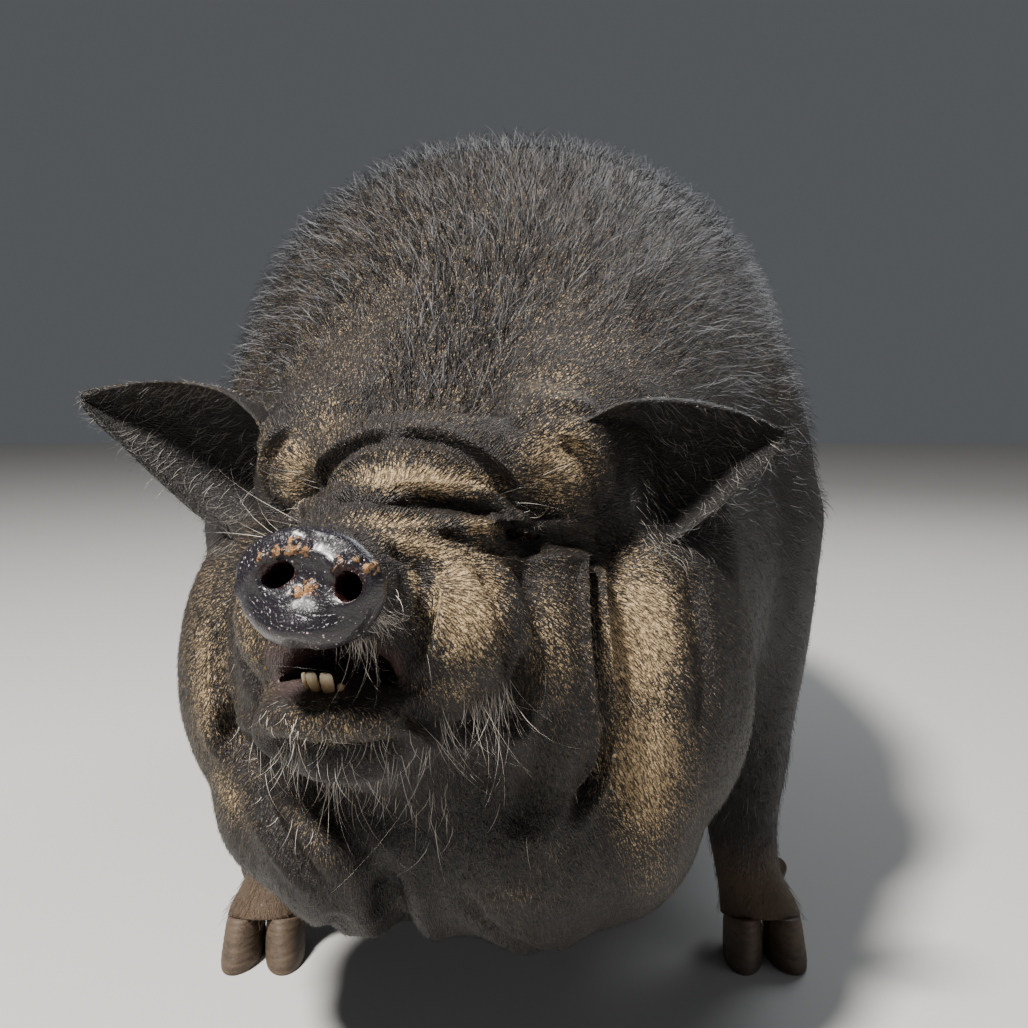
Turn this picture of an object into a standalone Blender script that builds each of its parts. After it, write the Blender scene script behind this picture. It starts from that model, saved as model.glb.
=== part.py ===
"""Life-size still model of a very fat black pot-bellied pig, standing with its head low and turned to its right.

Metres, +Z up. The pig faces -Y, its left side is +X, and the origin is on the floor below the middle of its box.
The flesh is modelled whole, as lumps and lofted limbs that are fused and smoothed, and then parted by thin cuts.
"""

import math
import random

import bmesh
import bpy
import numpy as np
from mathutils import Euler, Matrix, Vector
from mathutils.bvhtree import BVHTree

# Driving sizes
GAP = 0.0003
CLAY_VOXEL = 0.0042
BODY_SOFTNESS = 0.015
CHEEK_SOFTNESS = 0.0055
FACE_SOFTNESS = 0.0030
FLESH_TRIANGLES = 6420
RUMP_Y = 0.506
HOOF_TOP = 0.027
HOOF_TILT = math.radians(14)
LOCK_ROOT = 0.007
LOCK_SEED = 7
TAIL_LOCKS = 5
MANE_FRONT = -0.345
MANE_REAR = 0.47
EYE_RADIUS = 0.0105
NOSTRIL_SHIFT = 0.0055

# The head's own frame: its middle plane is x = 0, its face looks along -y
HEAD_CENTRE = Vector((-0.0355, -0.354, 0.354))
HEAD_YAW = math.radians(-12)
SNOUT_PIVOT = Vector((0, -0.070, -0.045))
SNOUT_SWING = math.radians(-4.0)

# Lines of the trunk as (y, value): the back, the belly and the half width, nose end first
BACK_LINE = [(-0.36, 0.405), (-0.26, 0.478), (-0.15, 0.536), (-0.03, 0.572), (0.12, 0.562), (0.28, 0.556),
             (0.40, 0.520), (0.48, 0.455), (RUMP_Y, 0.385)]
BELLY_LINE = [(-0.36, 0.150), (-0.26, 0.118), (-0.15, 0.106), (-0.03, 0.088), (0.12, 0.068), (0.28, 0.078),
              (0.40, 0.148), (0.48, 0.235), (RUMP_Y, 0.320)]
WIDTH_LINE = [(-0.36, 0.120), (-0.26, 0.164), (-0.15, 0.200), (-0.03, 0.228), (0.12, 0.243), (0.28, 0.232),
              (0.40, 0.193), (0.48, 0.125), (RUMP_Y, 0.045)]

HEAD = Matrix.Translation(HEAD_CENTRE) @ Matrix.Rotation(HEAD_YAW, 4, "Z")
SNOUT = HEAD @ Matrix.Translation(SNOUT_PIVOT) @ Matrix.Rotation(SNOUT_SWING, 4, "Z") @ Matrix.Translation(-SNOUT_PIVOT)
WORLD = Matrix.Identity(4)

# Feet as (name, side, foot's middle y); the column of the leg ends over this point
FEET = [("foreleg_left", 1, 0.170, -0.200), ("foreleg_right", -1, 0.170, -0.200),
        ("hindleg_left", 1, 0.148, 0.336), ("hindleg_right", -1, 0.148, 0.336)]


def clear_scene():
    for obj in list(bpy.data.objects):
        bpy.data.objects.remove(obj)


def finish_material(name, colour, roughness):
    mat = bpy.data.materials.new(name)
    mat.use_nodes = True
    shader = mat.node_tree.nodes["Principled BSDF"]
    shader.inputs["Base Color"].default_value = (*colour, 1)
    shader.inputs["Roughness"].default_value = roughness
    mat.diffuse_color = (*colour, 1)
    return mat


def object_from(name, bm):
    bmesh.ops.triangulate(bm, faces=bm.faces[:])
    mesh = bpy.data.meshes.new(name)
    bm.to_mesh(mesh)
    bm.free()
    obj = bpy.data.objects.new(name, mesh)
    bpy.context.scene.collection.objects.link(obj)
    return obj


def copy_of(obj, name):
    twin = bpy.data.objects.new(name, obj.data.copy())
    bpy.context.scene.collection.objects.link(twin)
    return twin


def remove(*objects):
    for obj in objects:
        bpy.data.objects.remove(obj)


def apply_modifiers(obj):
    """Replaces the object's mesh by what its modifiers make of it."""
    graph = bpy.context.evaluated_depsgraph_get()
    mesh = bpy.data.meshes.new_from_object(obj.evaluated_get(graph))
    obj.modifiers.clear()
    obj.data = mesh
    return obj


def boolean(obj, other, operation, solver="EXACT"):
    """Cuts, keeps or joins by one closed body, which is then removed."""
    step = obj.modifiers.new(operation.lower(), "BOOLEAN")
    step.operation = operation
    step.solver = solver
    step.object = other
    apply_modifiers(obj)
    remove(other)
    return obj


def keep_largest(obj):
    """Keeps the closed surface with the most faces and drops loose scraps."""
    bm = bmesh.new()
    bm.from_mesh(obj.data)
    left = set(bm.faces)
    pieces = []
    while left:
        piece = {left.pop()}
        front = list(piece)
        while front:
            face = front.pop()
            for edge in face.edges:
                for near in edge.link_faces:
                    if near in left:
                        left.remove(near)
                        piece.add(near)
                        front.append(near)
        pieces.append(piece)
    largest = max(pieces, key=len)
    bmesh.ops.delete(bm, geom=[f for p in pieces if p is not largest for f in p], context="FACES")
    bmesh.ops.triangulate(bm, faces=bm.faces[:])
    bm.to_mesh(obj.data)
    bm.free()
    return obj


def smooth_line(keys, count):
    """Points of a Catmull-Rom curve through keys, each a row of any length."""
    keys = np.array(keys, float)
    ends = np.vstack([2 * keys[0] - keys[1], keys, 2 * keys[-1] - keys[-2]])
    found = []
    for s in np.linspace(0, len(keys) - 1, count):
        i = min(int(s), len(keys) - 2)
        t = s - i
        a, b, c, d = ends[i : i + 4]
        found.append(0.5 * (2 * b + (c - a) * t + (2 * a - 5 * b + 4 * c - d) * t * t + (3 * b - a - 3 * c + d) * t**3))
    return np.array(found)


def value_at(line, y):
    """Height or width of a trunk line at y, eased between its keys."""
    dense = smooth_line(line, 12 * len(line))
    return float(np.interp(y, dense[:, 0], dense[:, 1]))


def add_loft(bm, rings):
    """Skins rings of equally many points into one closed body."""
    loops = [[bm.verts.new(p) for p in ring] for ring in rings]
    made = []
    for a, b in zip(loops, loops[1:]):
        for i in range(len(a)):
            j = (i + 1) % len(a)
            made.append(bm.faces.new((a[i], a[j], b[j], b[i])))
    made.append(bm.faces.new(loops[0][::-1]))
    made.append(bm.faces.new(loops[-1]))
    bmesh.ops.recalc_face_normals(bm, faces=made)


def add_lump(bm, place, centre, radii, tilt=(0, 0, 0), detail=4):
    """An ellipsoid of flesh, tilted by degrees about its own x, y and z."""
    turn = Euler([math.radians(a) for a in tilt]).to_matrix().to_4x4()
    matrix = place @ Matrix.Translation(centre) @ turn @ Matrix.Diagonal((*radii, 1))
    bmesh.ops.create_icosphere(bm, subdivisions=detail, radius=1, matrix=matrix)


def add_pair(bm, place, centre, radii, tilt=(0, 0, 0), detail=4):
    """The same lump on both sides of the middle plane."""
    for side in (1, -1):
        add_lump(bm, place, (side * centre[0], *centre[1:]), radii, (tilt[0], side * tilt[1], side * tilt[2]), detail)


def add_limb(bm, place, joints, sides=20, steps=8):
    """A tapered limb through joints of (x, y, z, half width, half depth), with rings square to its path."""
    line = smooth_line(joints, steps * len(joints))
    rings = []
    for i, row in enumerate(line):
        along = Vector(line[min(i + 1, len(line) - 1)][:3] - line[max(i - 1, 0)][:3]).normalized()
        depth = along.cross(Vector((1, 0, 0))).normalized()
        width = depth.cross(along)
        angles = (2 * math.pi * k / sides for k in range(sides))
        rings.append([place @ (Vector(row[:3]) + width * row[3] * math.cos(a) + depth * row[4] * math.sin(a))
                      for a in angles])
    add_loft(bm, rings)


def add_trunk(bm, sides=48, stations=46):
    """The barrel: sections a little square, widest below their middle."""
    rings = []
    for y in np.linspace(BACK_LINE[0][0], RUMP_Y, stations):
        top, bottom, half = (value_at(line, y) for line in (BACK_LINE, BELLY_LINE, WIDTH_LINE))
        middle = bottom + 0.47 * (top - bottom)
        ring = []
        for k in range(sides):
            a = 2 * math.pi * k / sides
            c, s = math.cos(a), math.sin(a)
            x = half * math.copysign(abs(c) ** 0.92, c)
            z = middle + (top - middle if s > 0 else middle - bottom) * math.copysign(abs(s) ** 0.92, s)
            ring.append((x, y, z))
        rings.append(ring)
    add_loft(bm, rings)


def add_legs(bm):
    for side in (1, -1):
        add_limb(bm, WORLD, [(side * 0.140, -0.150, 0.300, 0.080, 0.100), (side * 0.150, -0.160, 0.200, 0.058, 0.075),
                             (side * 0.157, -0.172, 0.130, 0.038, 0.044), (side * 0.158, -0.183, 0.085, 0.026, 0.029),
                             (side * 0.163, -0.188, 0.050, 0.0235, 0.025), (side * 0.170, -0.196, 0.022, 0.028, 0.030),
                             (side * 0.172, -0.200, 0.004, 0.028, 0.030)])
        add_limb(bm, WORLD, [(side * 0.110, 0.300, 0.320, 0.090, 0.130), (side * 0.130, 0.320, 0.215, 0.070, 0.095),
                             (side * 0.142, 0.355, 0.145, 0.038, 0.046), (side * 0.143, 0.372, 0.105, 0.026, 0.033),
                             (side * 0.145, 0.352, 0.055, 0.0235, 0.026), (side * 0.148, 0.338, 0.022, 0.028, 0.030),
                             (side * 0.148, 0.334, 0.004, 0.028, 0.030)])


def add_head(bm):
    """Skull, brow rolls, cheeks and jowls in the head's frame, and the muzzle in its own swung one."""
    add_lump(bm, HEAD, (0, 0.045, -0.002), (0.120, 0.130, 0.076), (32, 0, 0))
    add_pair(bm, HEAD, (0.070, 0.105, 0.005), (0.070, 0.080, 0.080), (25, 0, 0))
    add_lump(bm, HEAD, (0, 0.014, -0.060), (0.098, 0.092, 0.075))
    add_pair(bm, HEAD, (0.056, -0.026, -0.002), (0.038, 0.037, 0.040), (0, 20, 14))
    add_lump(bm, HEAD, (0.006, -0.058, -0.001), (0.062, 0.040, 0.025), (-14, 0, 0))
    add_lump(bm, HEAD, (0.004, -0.080, -0.028), (0.056, 0.038, 0.021), (-10, 0, 0))
    add_pair(bm, HEAD, (0.058, -0.046, -0.098), (0.038, 0.048, 0.074), (0, 0, 10))
    add_pair(bm, HEAD, (0.103, 0.034, -0.122), (0.060, 0.084, 0.098), (0, -4, 0))
    add_pair(bm, HEAD, (0.076, 0.020, -0.188), (0.064, 0.078, 0.070), (0, 0, 0))
    add_lump(bm, HEAD, (0, 0.020, -0.165), (0.118, 0.098, 0.104))
    add_pair(bm, HEAD, (0.048, -0.006, -0.182), (0.066, 0.070, 0.082), (0, 0, 0))
    add_limb(bm, SNOUT, [(0, -0.040, -0.055, 0.060, 0.052), (0, -0.095, -0.050, 0.053, 0.042),
                         (0, -0.135, -0.046, 0.037, 0.031), (0, -0.163, -0.044, 0.030, 0.0245),
                         (0, -0.174, -0.043, 0.0325, 0.0260), (0, -0.182, -0.043, 0.0350, 0.0275),
                         (0, -0.190, -0.043, 0.0350, 0.0270)], 28)
    add_lump(bm, SNOUT, (0, -0.181, -0.054), (0.030, 0.014, 0.0195))
    add_pair(bm, SNOUT, (0.033, -0.108, -0.068), (0.035, 0.037, 0.037), (0, 0, 18))
    add_lump(bm, SNOUT, (-0.006, -0.112, -0.107), (0.046, 0.055, 0.024), (6, 0, 0))
    add_lump(bm, HEAD, (-0.010, -0.055, -0.122), (0.062, 0.062, 0.048))


# Folds of the face in the head's frame, as lines, width and depth; True where the pig has one on both sides
FOLDS = [
    ([(-0.050, -0.077, -0.014), (-0.040, -0.085, 0.004), (0.000, -0.087, 0.016), (0.030, -0.084, 0.010),
      (0.050, -0.078, -0.012)], 0.0055, 0.0080, False),
    ([(-0.046, -0.088, -0.018), (-0.020, -0.100, -0.014), (0.010, -0.103, -0.015), (0.030, -0.097, -0.019),
      (0.044, -0.085, -0.026)], 0.0050, 0.0070, False),
    ([(0.072, -0.045, -0.040), (0.082, -0.048, -0.060), (0.084, -0.054, -0.090), (0.084, -0.054, -0.116),
      (0.081, -0.050, -0.146), (0.070, -0.043, -0.174)], 0.0060, 0.0115, True),
    ([(0.049, -0.089, -0.045), (0.062, -0.091, -0.058), (0.067, -0.090, -0.076), (0.063, -0.091, -0.098),
      (0.050, -0.093, -0.118)], 0.0060, 0.0060, True),
    ([(-0.084, -0.080, -0.130), (-0.063, -0.090, -0.156), (-0.034, -0.089, -0.169), (-0.006, -0.083, -0.172),
      (0.024, -0.077, -0.162), (0.047, -0.073, -0.140)], 0.0080, 0.0120, False),
    ([(0.040, -0.082, -0.036), (0.055, -0.074, -0.037), (0.079, -0.052, -0.043), (0.094, -0.029, -0.041)],
     0.0050, 0.0075, True),
    ([(-0.012, -0.050, -0.195), (-0.016, -0.030, -0.225), (-0.018, 0.003, -0.262)], 0.0070, 0.0100, False),
]


def press_folds(obj):
    """Presses each fold into the skin along its line and lifts the skin on both sides of it."""
    mesh = obj.data
    points = points_of(mesh)
    tree = BVHTree.FromObject(obj, bpy.context.evaluated_depsgraph_get())
    normals = np.empty(len(points) * 3, np.float32)
    mesh.vertex_normals.foreach_get("vector", normals)
    normals = normals.reshape(-1, 3)
    inward = np.zeros(len(points))
    lift = np.zeros(len(points))
    for keys, width, depth, both in FOLDS:
        for side in (1, -1) if both else (1,):
            line = [HEAD @ Vector((side * x, y, z)) for x, y, z in smooth_line(keys, 40)]
            line = np.array([tree.find_nearest(p)[0] for p in line])
            away = np.full(len(points), 1.0)
            near = np.linalg.norm(points - line.mean(axis=0), axis=1) < 0.16
            ends = np.zeros(len(points))
            gaps = np.linalg.norm(points[near][:, None] - line[None], axis=2)
            away[near] = gaps.min(axis=1)
            place = gaps.argmin(axis=1) / (len(line) - 1)
            ends[near] = np.clip(6 * np.minimum(place, 1 - place) + 0.15, 0, 1)
            r = away / width
            inward = np.maximum(inward, ends * depth * np.exp(-r * r))
            lift = np.maximum(lift, 0.32 * ends * depth * np.exp(-((r - 2.3) ** 2)))
    points += normals * (lift * np.exp(-inward / 0.002) - inward)[:, None]
    mesh.vertices.foreach_set("co", points.astype(np.float32).ravel())
    mesh.update()


def flesh():
    """The whole skin from snout to rump, fused, then smoothed more on the body than on the face."""
    bm = bmesh.new()
    add_trunk(bm)
    add_legs(bm)
    add_pair(bm, WORLD, (0.125, -0.150, 0.290), (0.088, 0.115, 0.165))
    add_pair(bm, WORLD, (0.108, 0.330, 0.290), (0.100, 0.135, 0.180))
    add_lump(bm, WORLD, (0, -0.235, 0.300), (0.160, 0.110, 0.185))
    add_head(bm)
    obj = object_from("flesh", bm)
    remesh = obj.modifiers.new("fuse", "REMESH")
    remesh.mode = "VOXEL"
    remesh.voxel_size = CLAY_VOXEL
    apply_modifiers(obj)
    boolean(obj, mouth_cutter(), "DIFFERENCE", "MANIFOLD")
    soften(obj, BODY_SOFTNESS, body_share)
    soften(obj, CHEEK_SOFTNESS, cheek_share)
    soften(obj, FACE_SOFTNESS)
    press_folds(obj)
    soften(obj, FACE_SOFTNESS / 2)
    return obj


# Outline of the gap between the lips as (x, z), and how it narrows towards the throat as (y, share)
MOUTH_OUTLINE = [(-0.036, -0.0935), (-0.026, -0.0795), (-0.015, -0.0690), (-0.005, -0.0675), (0.006, -0.0720),
                 (0.014, -0.0800), (0.022, -0.0910), (0.010, -0.0895), (-0.006, -0.0880), (-0.022, -0.0900)]
MOUTH_DEPTHS = [(-0.171, 1.0), (-0.160, 1.0), (-0.135, 0.92), (-0.118, 0.70), (-0.108, 0.40)]


def mouth_cutter():
    """The gap between the lips, which shows the lower front teeth."""
    middle = Vector((-0.006, 0, -0.080))
    outline = smooth_line(MOUTH_OUTLINE + MOUTH_OUTLINE[:1], 31)[:-1]
    rings = [[SNOUT @ Vector((x, y, z)).lerp(Vector((middle.x, y, middle.z)), 1 - share) for x, z in outline]
             for y, share in MOUTH_DEPTHS]
    bm = bmesh.new()
    add_loft(bm, rings)
    return object_from("mouth", bm)


def points_of(mesh):
    points = np.empty(len(mesh.vertices) * 3, np.float32)
    mesh.vertices.foreach_get("co", points)
    return points.reshape(-1, 3).astype(float)


def head_points(points):
    """World points in the head's frame."""
    return (points - np.array(HEAD_CENTRE)) @ np.array(HEAD.to_3x3())


def body_share(points):
    """1 on the trunk, easing to 0 on the face and the feet."""
    back = np.clip((head_points(points)[:, 1] - 0.035) / 0.075, 0, 1)
    up = np.clip((points[:, 2] - 0.075) / 0.08, 0, 1)
    return back * np.maximum(up, np.abs(points[:, 1]) < 0.1)


def cheek_share(points):
    """1 on the cheeks, jowls and brow, easing to 0 on the snout and lips."""
    return np.clip((head_points(points)[:, 1] + 0.125) / 0.035, 0, 1)


def soften(obj, radius, share=None):
    """Smooths about as a Gaussian of that radius does, so that the result hardly depends on the voxel size."""
    group = obj.vertex_groups.new(name="share")
    weights = np.ones(len(obj.data.vertices)) if share is None else share(points_of(obj.data))
    for i, weight in enumerate(weights):
        if weight > 0:
            group.add([i], float(weight), "REPLACE")
    smooth = obj.modifiers.new("soften", "SMOOTH")
    smooth.factor = 0.5
    smooth.iterations = max(1, round(4 * (radius / CLAY_VOXEL) ** 2))
    smooth.vertex_group = group.name
    apply_modifiers(obj)
    obj.vertex_groups.clear()


def face_share(points):
    """How much a point needs small triangles: most on the front of the head, least on the trunk."""
    local = head_points(points)
    face = np.clip((0.045 - local[:, 1]) / 0.05, 0, 1) * np.clip((local[:, 2] + 0.20) / 0.05, 0, 1)
    feet = np.clip((0.12 - points[:, 2]) / 0.03, 0, 1) * (points[:, 1] > -0.26)
    return np.maximum(face, 0.3 * feet)


def thin_out(obj, triangles):
    """Fewer triangles, spent on the face first."""
    group = obj.vertex_groups.new(name="face")
    for i, weight in enumerate(face_share(points_of(obj.data))):
        group.add([i], 1 - 0.85 * float(weight), "REPLACE")
    fewer = obj.modifiers.new("fewer", "DECIMATE")
    fewer.ratio = triangles / (2 * len(obj.data.polygons))
    fewer.use_collapse_triangulate = True
    fewer.vertex_group = group.name
    fewer.vertex_group_factor = 0.001
    apply_modifiers(obj)
    obj.vertex_groups.clear()


def prism(name, outline, y0, y1):
    """A body with the same (x, z) outline from y0 to y1."""
    bm = bmesh.new()
    add_loft(bm, [[(x, y, z) for x, z in outline] for y in (y0, y1)])
    return object_from(name, bm)


def half_space(name, point, normal, grow=0.0, size=2.0):
    """A big box on the far side of a plane, moved past it by grow."""
    turn = Vector(normal).to_track_quat("Z", "Y").to_matrix().to_4x4()
    bm = bmesh.new()
    matrix = Matrix.Translation(Vector(point) - Vector(normal).normalized() * grow) @ turn
    matrix = matrix @ Matrix.Translation((0, 0, size / 2))
    bmesh.ops.create_cube(bm, size=size, matrix=matrix)
    return object_from(name, bm)


HEAD_CUT = (HEAD @ Vector((0, 0.082, 0)), HEAD.to_3x3() @ Vector((0, -1, 0.10)).normalized())
NECK_CUT = (Vector((0, -0.188, 0.300)), Vector((0, 1, -0.305)).normalized())


def leg_region(name, side, y, grow=0.0, low=-0.02):
    """The room of one leg, closed above by a slanting plane."""
    fore = y < 0
    inner, high, slope = (0.100, 0.098, 0.79) if fore else (0.090, 0.092, 0.72)
    outer = 0.270
    front, rear = (-0.300, -0.070) if fore else (0.225, 0.480)
    rise = grow * math.hypot(1, slope)
    outline = [(side * (inner - grow), high + rise), (side * outer, high + rise + slope * (outer - inner)),
               (side * outer, low), (side * (inner - grow), low)]
    return prism(name, outline, front, rear)


def foot_plane(side, x, y):
    """The slanting plane where the leg's skin ends and the hooves begin."""
    return Matrix.Translation((side * x, y, HOOF_TOP)) @ Matrix.Rotation(-HOOF_TILT, 4, "X")


def leg(name, side, x, y):
    obj = copy_of(thin_skin, name)
    boolean(obj, leg_region("room", side, y), "INTERSECT")
    plane = foot_plane(side, x, y)
    boolean(obj, half_space("sole", plane.translation, plane.to_3x3() @ Vector((0, 0, -1)), GAP), "DIFFERENCE")
    return keep_largest(obj)


def hoof(name, side, x, y, toe):
    """One of the two main claws: flat inside, rounded outside, longer and wider at the sole."""
    plane = foot_plane(side, x, y)
    rings = []
    for drop, half_x, half_y, shift in ((0.0, 0.0118, 0.0250, 0.0), (0.35, 0.0126, 0.0270, -0.003),
                                        (0.8, 0.0132, 0.0285, -0.007), (1.0, 0.0126, 0.0275, -0.008)):
        ring = []
        for k in range(14):
            a = 2 * math.pi * k / 14
            off = max(0.0012, 0.0136 + half_x * math.cos(a))
            along = shift + half_y * math.sin(a)
            splay = toe * 0.08 * max(0, -along)
            top = plane @ Vector((toe * off, along, 0))
            foot = Vector((top.x + splay, top.y, 0))
            ring.append(top.lerp(foot, drop))
        rings.append(ring)
    bm = bmesh.new()
    add_loft(bm, rings)
    return object_from(name, bm)


def dewclaw(name, side, x, y, toe, limb):
    """One of the two small claws behind the foot, clear of the floor."""
    bm = bmesh.new()
    joints = [(side * x + toe * 0.012, y + 0.020, 0.052, 0.0085, 0.0070),
              (side * x + toe * 0.016, y + 0.033, 0.045, 0.0080, 0.0068),
              (side * x + toe * 0.017, y + 0.040, 0.033, 0.0055, 0.0042)]
    add_limb(bm, WORLD, joints, 7, 1)
    obj = object_from(name, bm)
    boolean(obj, grown(limb, GAP), "DIFFERENCE")
    return keep_largest(obj)


def grown(obj, distance):
    """A copy of a closed body, pushed out along its normals."""
    twin = copy_of(obj, "grown")
    bm = bmesh.new()
    bm.from_mesh(twin.data)
    bm.normal_update()
    moves = [v.normal * distance * 1.15 for v in bm.verts]
    for v, move in zip(bm.verts, moves):
        v.co += move
    bm.to_mesh(twin.data)
    bm.free()
    return twin


EAR_ENDS = {1: (Vector((0.070, -0.034, -0.014)), Vector((0.175, -0.004, 0.010))),
            -1: (Vector((-0.080, -0.026, -0.014)), Vector((-0.208, -0.008, 0.027)))}
EAR_TOP = [(0, 0.022), (0.2, 0.034), (0.45, 0.031), (0.7, 0.021), (0.88, 0.0105), (0.96, 0.005), (1, 0.0012)]
EAR_BOTTOM = [(0, 0.030), (0.2, 0.044), (0.42, 0.043), (0.65, 0.031), (0.84, 0.0165), (0.95, 0.007), (1, 0.0012)]


def ear(name, side, host):
    """A cupped leaf that opens forward: rings of a thin shell, from the buried root to the tip."""
    base, tip = EAR_ENDS[side]
    rings = []
    half = 9
    for i in range(11):
        t = i / 10
        centre = base.lerp(tip, t) + Vector((0, 0.012 * math.sin(math.pi * t), 0))
        up, down = value_at(EAR_TOP, t), value_at(EAR_BOTTOM, t)
        cup = 0.042 * (1 - t) ** 0.75 + 0.0015
        thick = 0.0046 * (1 - t) + 0.0020
        back, front = [], []
        for k in range(half):
            v = -1 + 2 * k / (half - 1)
            edge = 1 - 0.55 * v**4
            roll = 0.50 * cup * v**4 if v > 0 else 0.12 * cup * v**4
            deep = cup * (1 - abs(v) ** 1.8) - roll
            height = (up if v > 0 else down) * math.sin(v * math.pi / 2)
            place = centre + Vector((0, deep, height))
            back.append(HEAD @ (place + Vector((0, thick * edge, 0))))
            front.append(HEAD @ (place - Vector((0, thick * edge * 0.6, 0))))
        rings.append(back + front[::-1])
    bm = bmesh.new()
    add_loft(bm, rings)
    obj = object_from(name, bm)
    boolean(obj, grown(host, GAP), "DIFFERENCE")
    return keep_largest(obj)


def ball(name, place, centre, radius, detail=2):
    bm = bmesh.new()
    add_lump(bm, place, centre, (radius, radius, radius), detail=detail)
    return object_from(name, bm)


EYE_CENTRE = (0.053, -0.060, -0.031)


def eye(name, side):
    return ball(name, HEAD, (side * EYE_CENTRE[0], *EYE_CENTRE[1:]), EYE_RADIUS)


def eye_socket(side):
    bm = bmesh.new()
    centre = (side * EYE_CENTRE[0], *EYE_CENTRE[1:])
    radius = EYE_RADIUS + GAP
    add_lump(bm, HEAD, centre, (radius, radius, radius), detail=2)
    return object_from("socket", bm)


def eye_slit(side):
    bm = bmesh.new()
    centre = (side * EYE_CENTRE[0], EYE_CENTRE[1] - 0.016, EYE_CENTRE[2])
    add_lump(bm, HEAD, centre, (0.0115, 0.018, 0.0030), (0, 0, side * 12), 3)
    return object_from("slit", bm)


def nostril(side):
    bm = bmesh.new()
    centre = (side * 0.0145 + NOSTRIL_SHIFT, -0.192, -0.0355)
    add_lump(bm, SNOUT, centre, (0.0060, 0.0140, 0.0052), (0, side * 18, side * -8), 2)
    return object_from("nostril", bm)


def tooth(name, side, grow=0.0):
    """A lower incisor, rising forward from the gum behind the lower lip."""
    bm = bmesh.new()
    joints = [(side * 0.0038 - 0.0085, -0.1500, -0.0980, 0.0030, 0.0024),
              (side * 0.0038 - 0.0085, -0.1545, -0.0895, 0.0031, 0.0023),
              (side * 0.0036 - 0.0085, -0.1570, -0.0810, 0.0026, 0.0012)]
    joints = [(x, y, z, w + grow, d + grow) for x, y, z, w, d in joints]
    if grow:
        x, y, z, w, d = joints[0]
        joints[0] = (x, y + 0.4 * grow, z - grow, w, d)
    add_limb(bm, SNOUT, joints, 8, 2)
    return object_from(name, bm)


def head_node():
    obj = copy_of(thin_skin, "head")
    boolean(obj, half_space("front", *HEAD_CUT), "INTERSECT")
    for side in (1, -1):
        boolean(obj, eye_socket(side), "DIFFERENCE")
        boolean(obj, eye_slit(side), "DIFFERENCE")
        boolean(obj, nostril(side), "DIFFERENCE")
        boolean(obj, tooth("pit", side, GAP), "DIFFERENCE")
    return keep_largest(obj)


def neck_node():
    obj = copy_of(thin_skin, "neck")
    boolean(obj, half_space("front", *HEAD_CUT, GAP), "DIFFERENCE")
    boolean(obj, half_space("rear", *NECK_CUT, GAP), "DIFFERENCE")
    return keep_largest(obj)


def torso_node():
    obj = copy_of(thin_skin, "torso")
    boolean(obj, half_space("rear", *NECK_CUT), "INTERSECT")
    for name, side, x, y in FEET:
        boolean(obj, leg_region("room", side, y, GAP), "DIFFERENCE")
    return keep_largest(obj)


def add_lock(bm, root, normal, lie, length, width, thick, lift, bend, roll=0.0):
    """A flat tapered lock of bristles, sunk into the skin, that leaves it at the angle lift and bends along its lie."""
    lie = (lie - normal * lie.dot(normal)).normalized()
    across = Matrix.Rotation(roll, 3, normal) @ normal.cross(lie)
    lie = Matrix.Rotation(roll, 3, normal) @ lie
    along = lambda angle: lie * math.cos(angle) + normal * math.sin(angle)
    point = root - along(lift) * LOCK_ROOT
    rings = []
    for share, wide in ((LOCK_ROOT / length, 0.75), (0.42, 1.0), (0.35, 0.72)):
        flat = along(lift + math.pi / 2)
        rings.append([point + across * width * wide / 2, point + flat * thick / 2,
                      point - across * width * wide / 2, point - flat * thick / 2])
        point = point + along(lift) * length * share
        if len(rings) > 1:
            lift -= bend
    tip = point + along(lift) * length * 0.23
    loops = [[bm.verts.new(p) for p in ring] for ring in rings]
    end = bm.verts.new(tip)
    made = [bm.faces.new(loops[0][::-1])]
    for a, b in zip(loops, loops[1:]):
        made += [bm.faces.new((a[i], a[(i + 1) % 4], b[(i + 1) % 4], b[i])) for i in range(4)]
    made += [bm.faces.new((loops[-1][i], loops[-1][(i + 1) % 4], end)) for i in range(4)]
    bmesh.ops.recalc_face_normals(bm, faces=made)


def mane_spots():
    """Seeded places of the locks, as (y, angle from straight up): close on the back, wider apart down the sides."""
    rng = random.Random(LOCK_SEED)
    row = 0
    y = MANE_FRONT
    while y < MANE_REAR:
        narrow = 0.75 if y < -0.27 else 1.0
        for k in range(-3, 4):
            angle = (k - 0.25 + 0.5 * (row % 2)) * 0.30 * narrow + rng.uniform(-0.06, 0.06)
            yield y + rng.uniform(-0.010, 0.010), angle, rng
        y += 0.056
        row += 1


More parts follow.
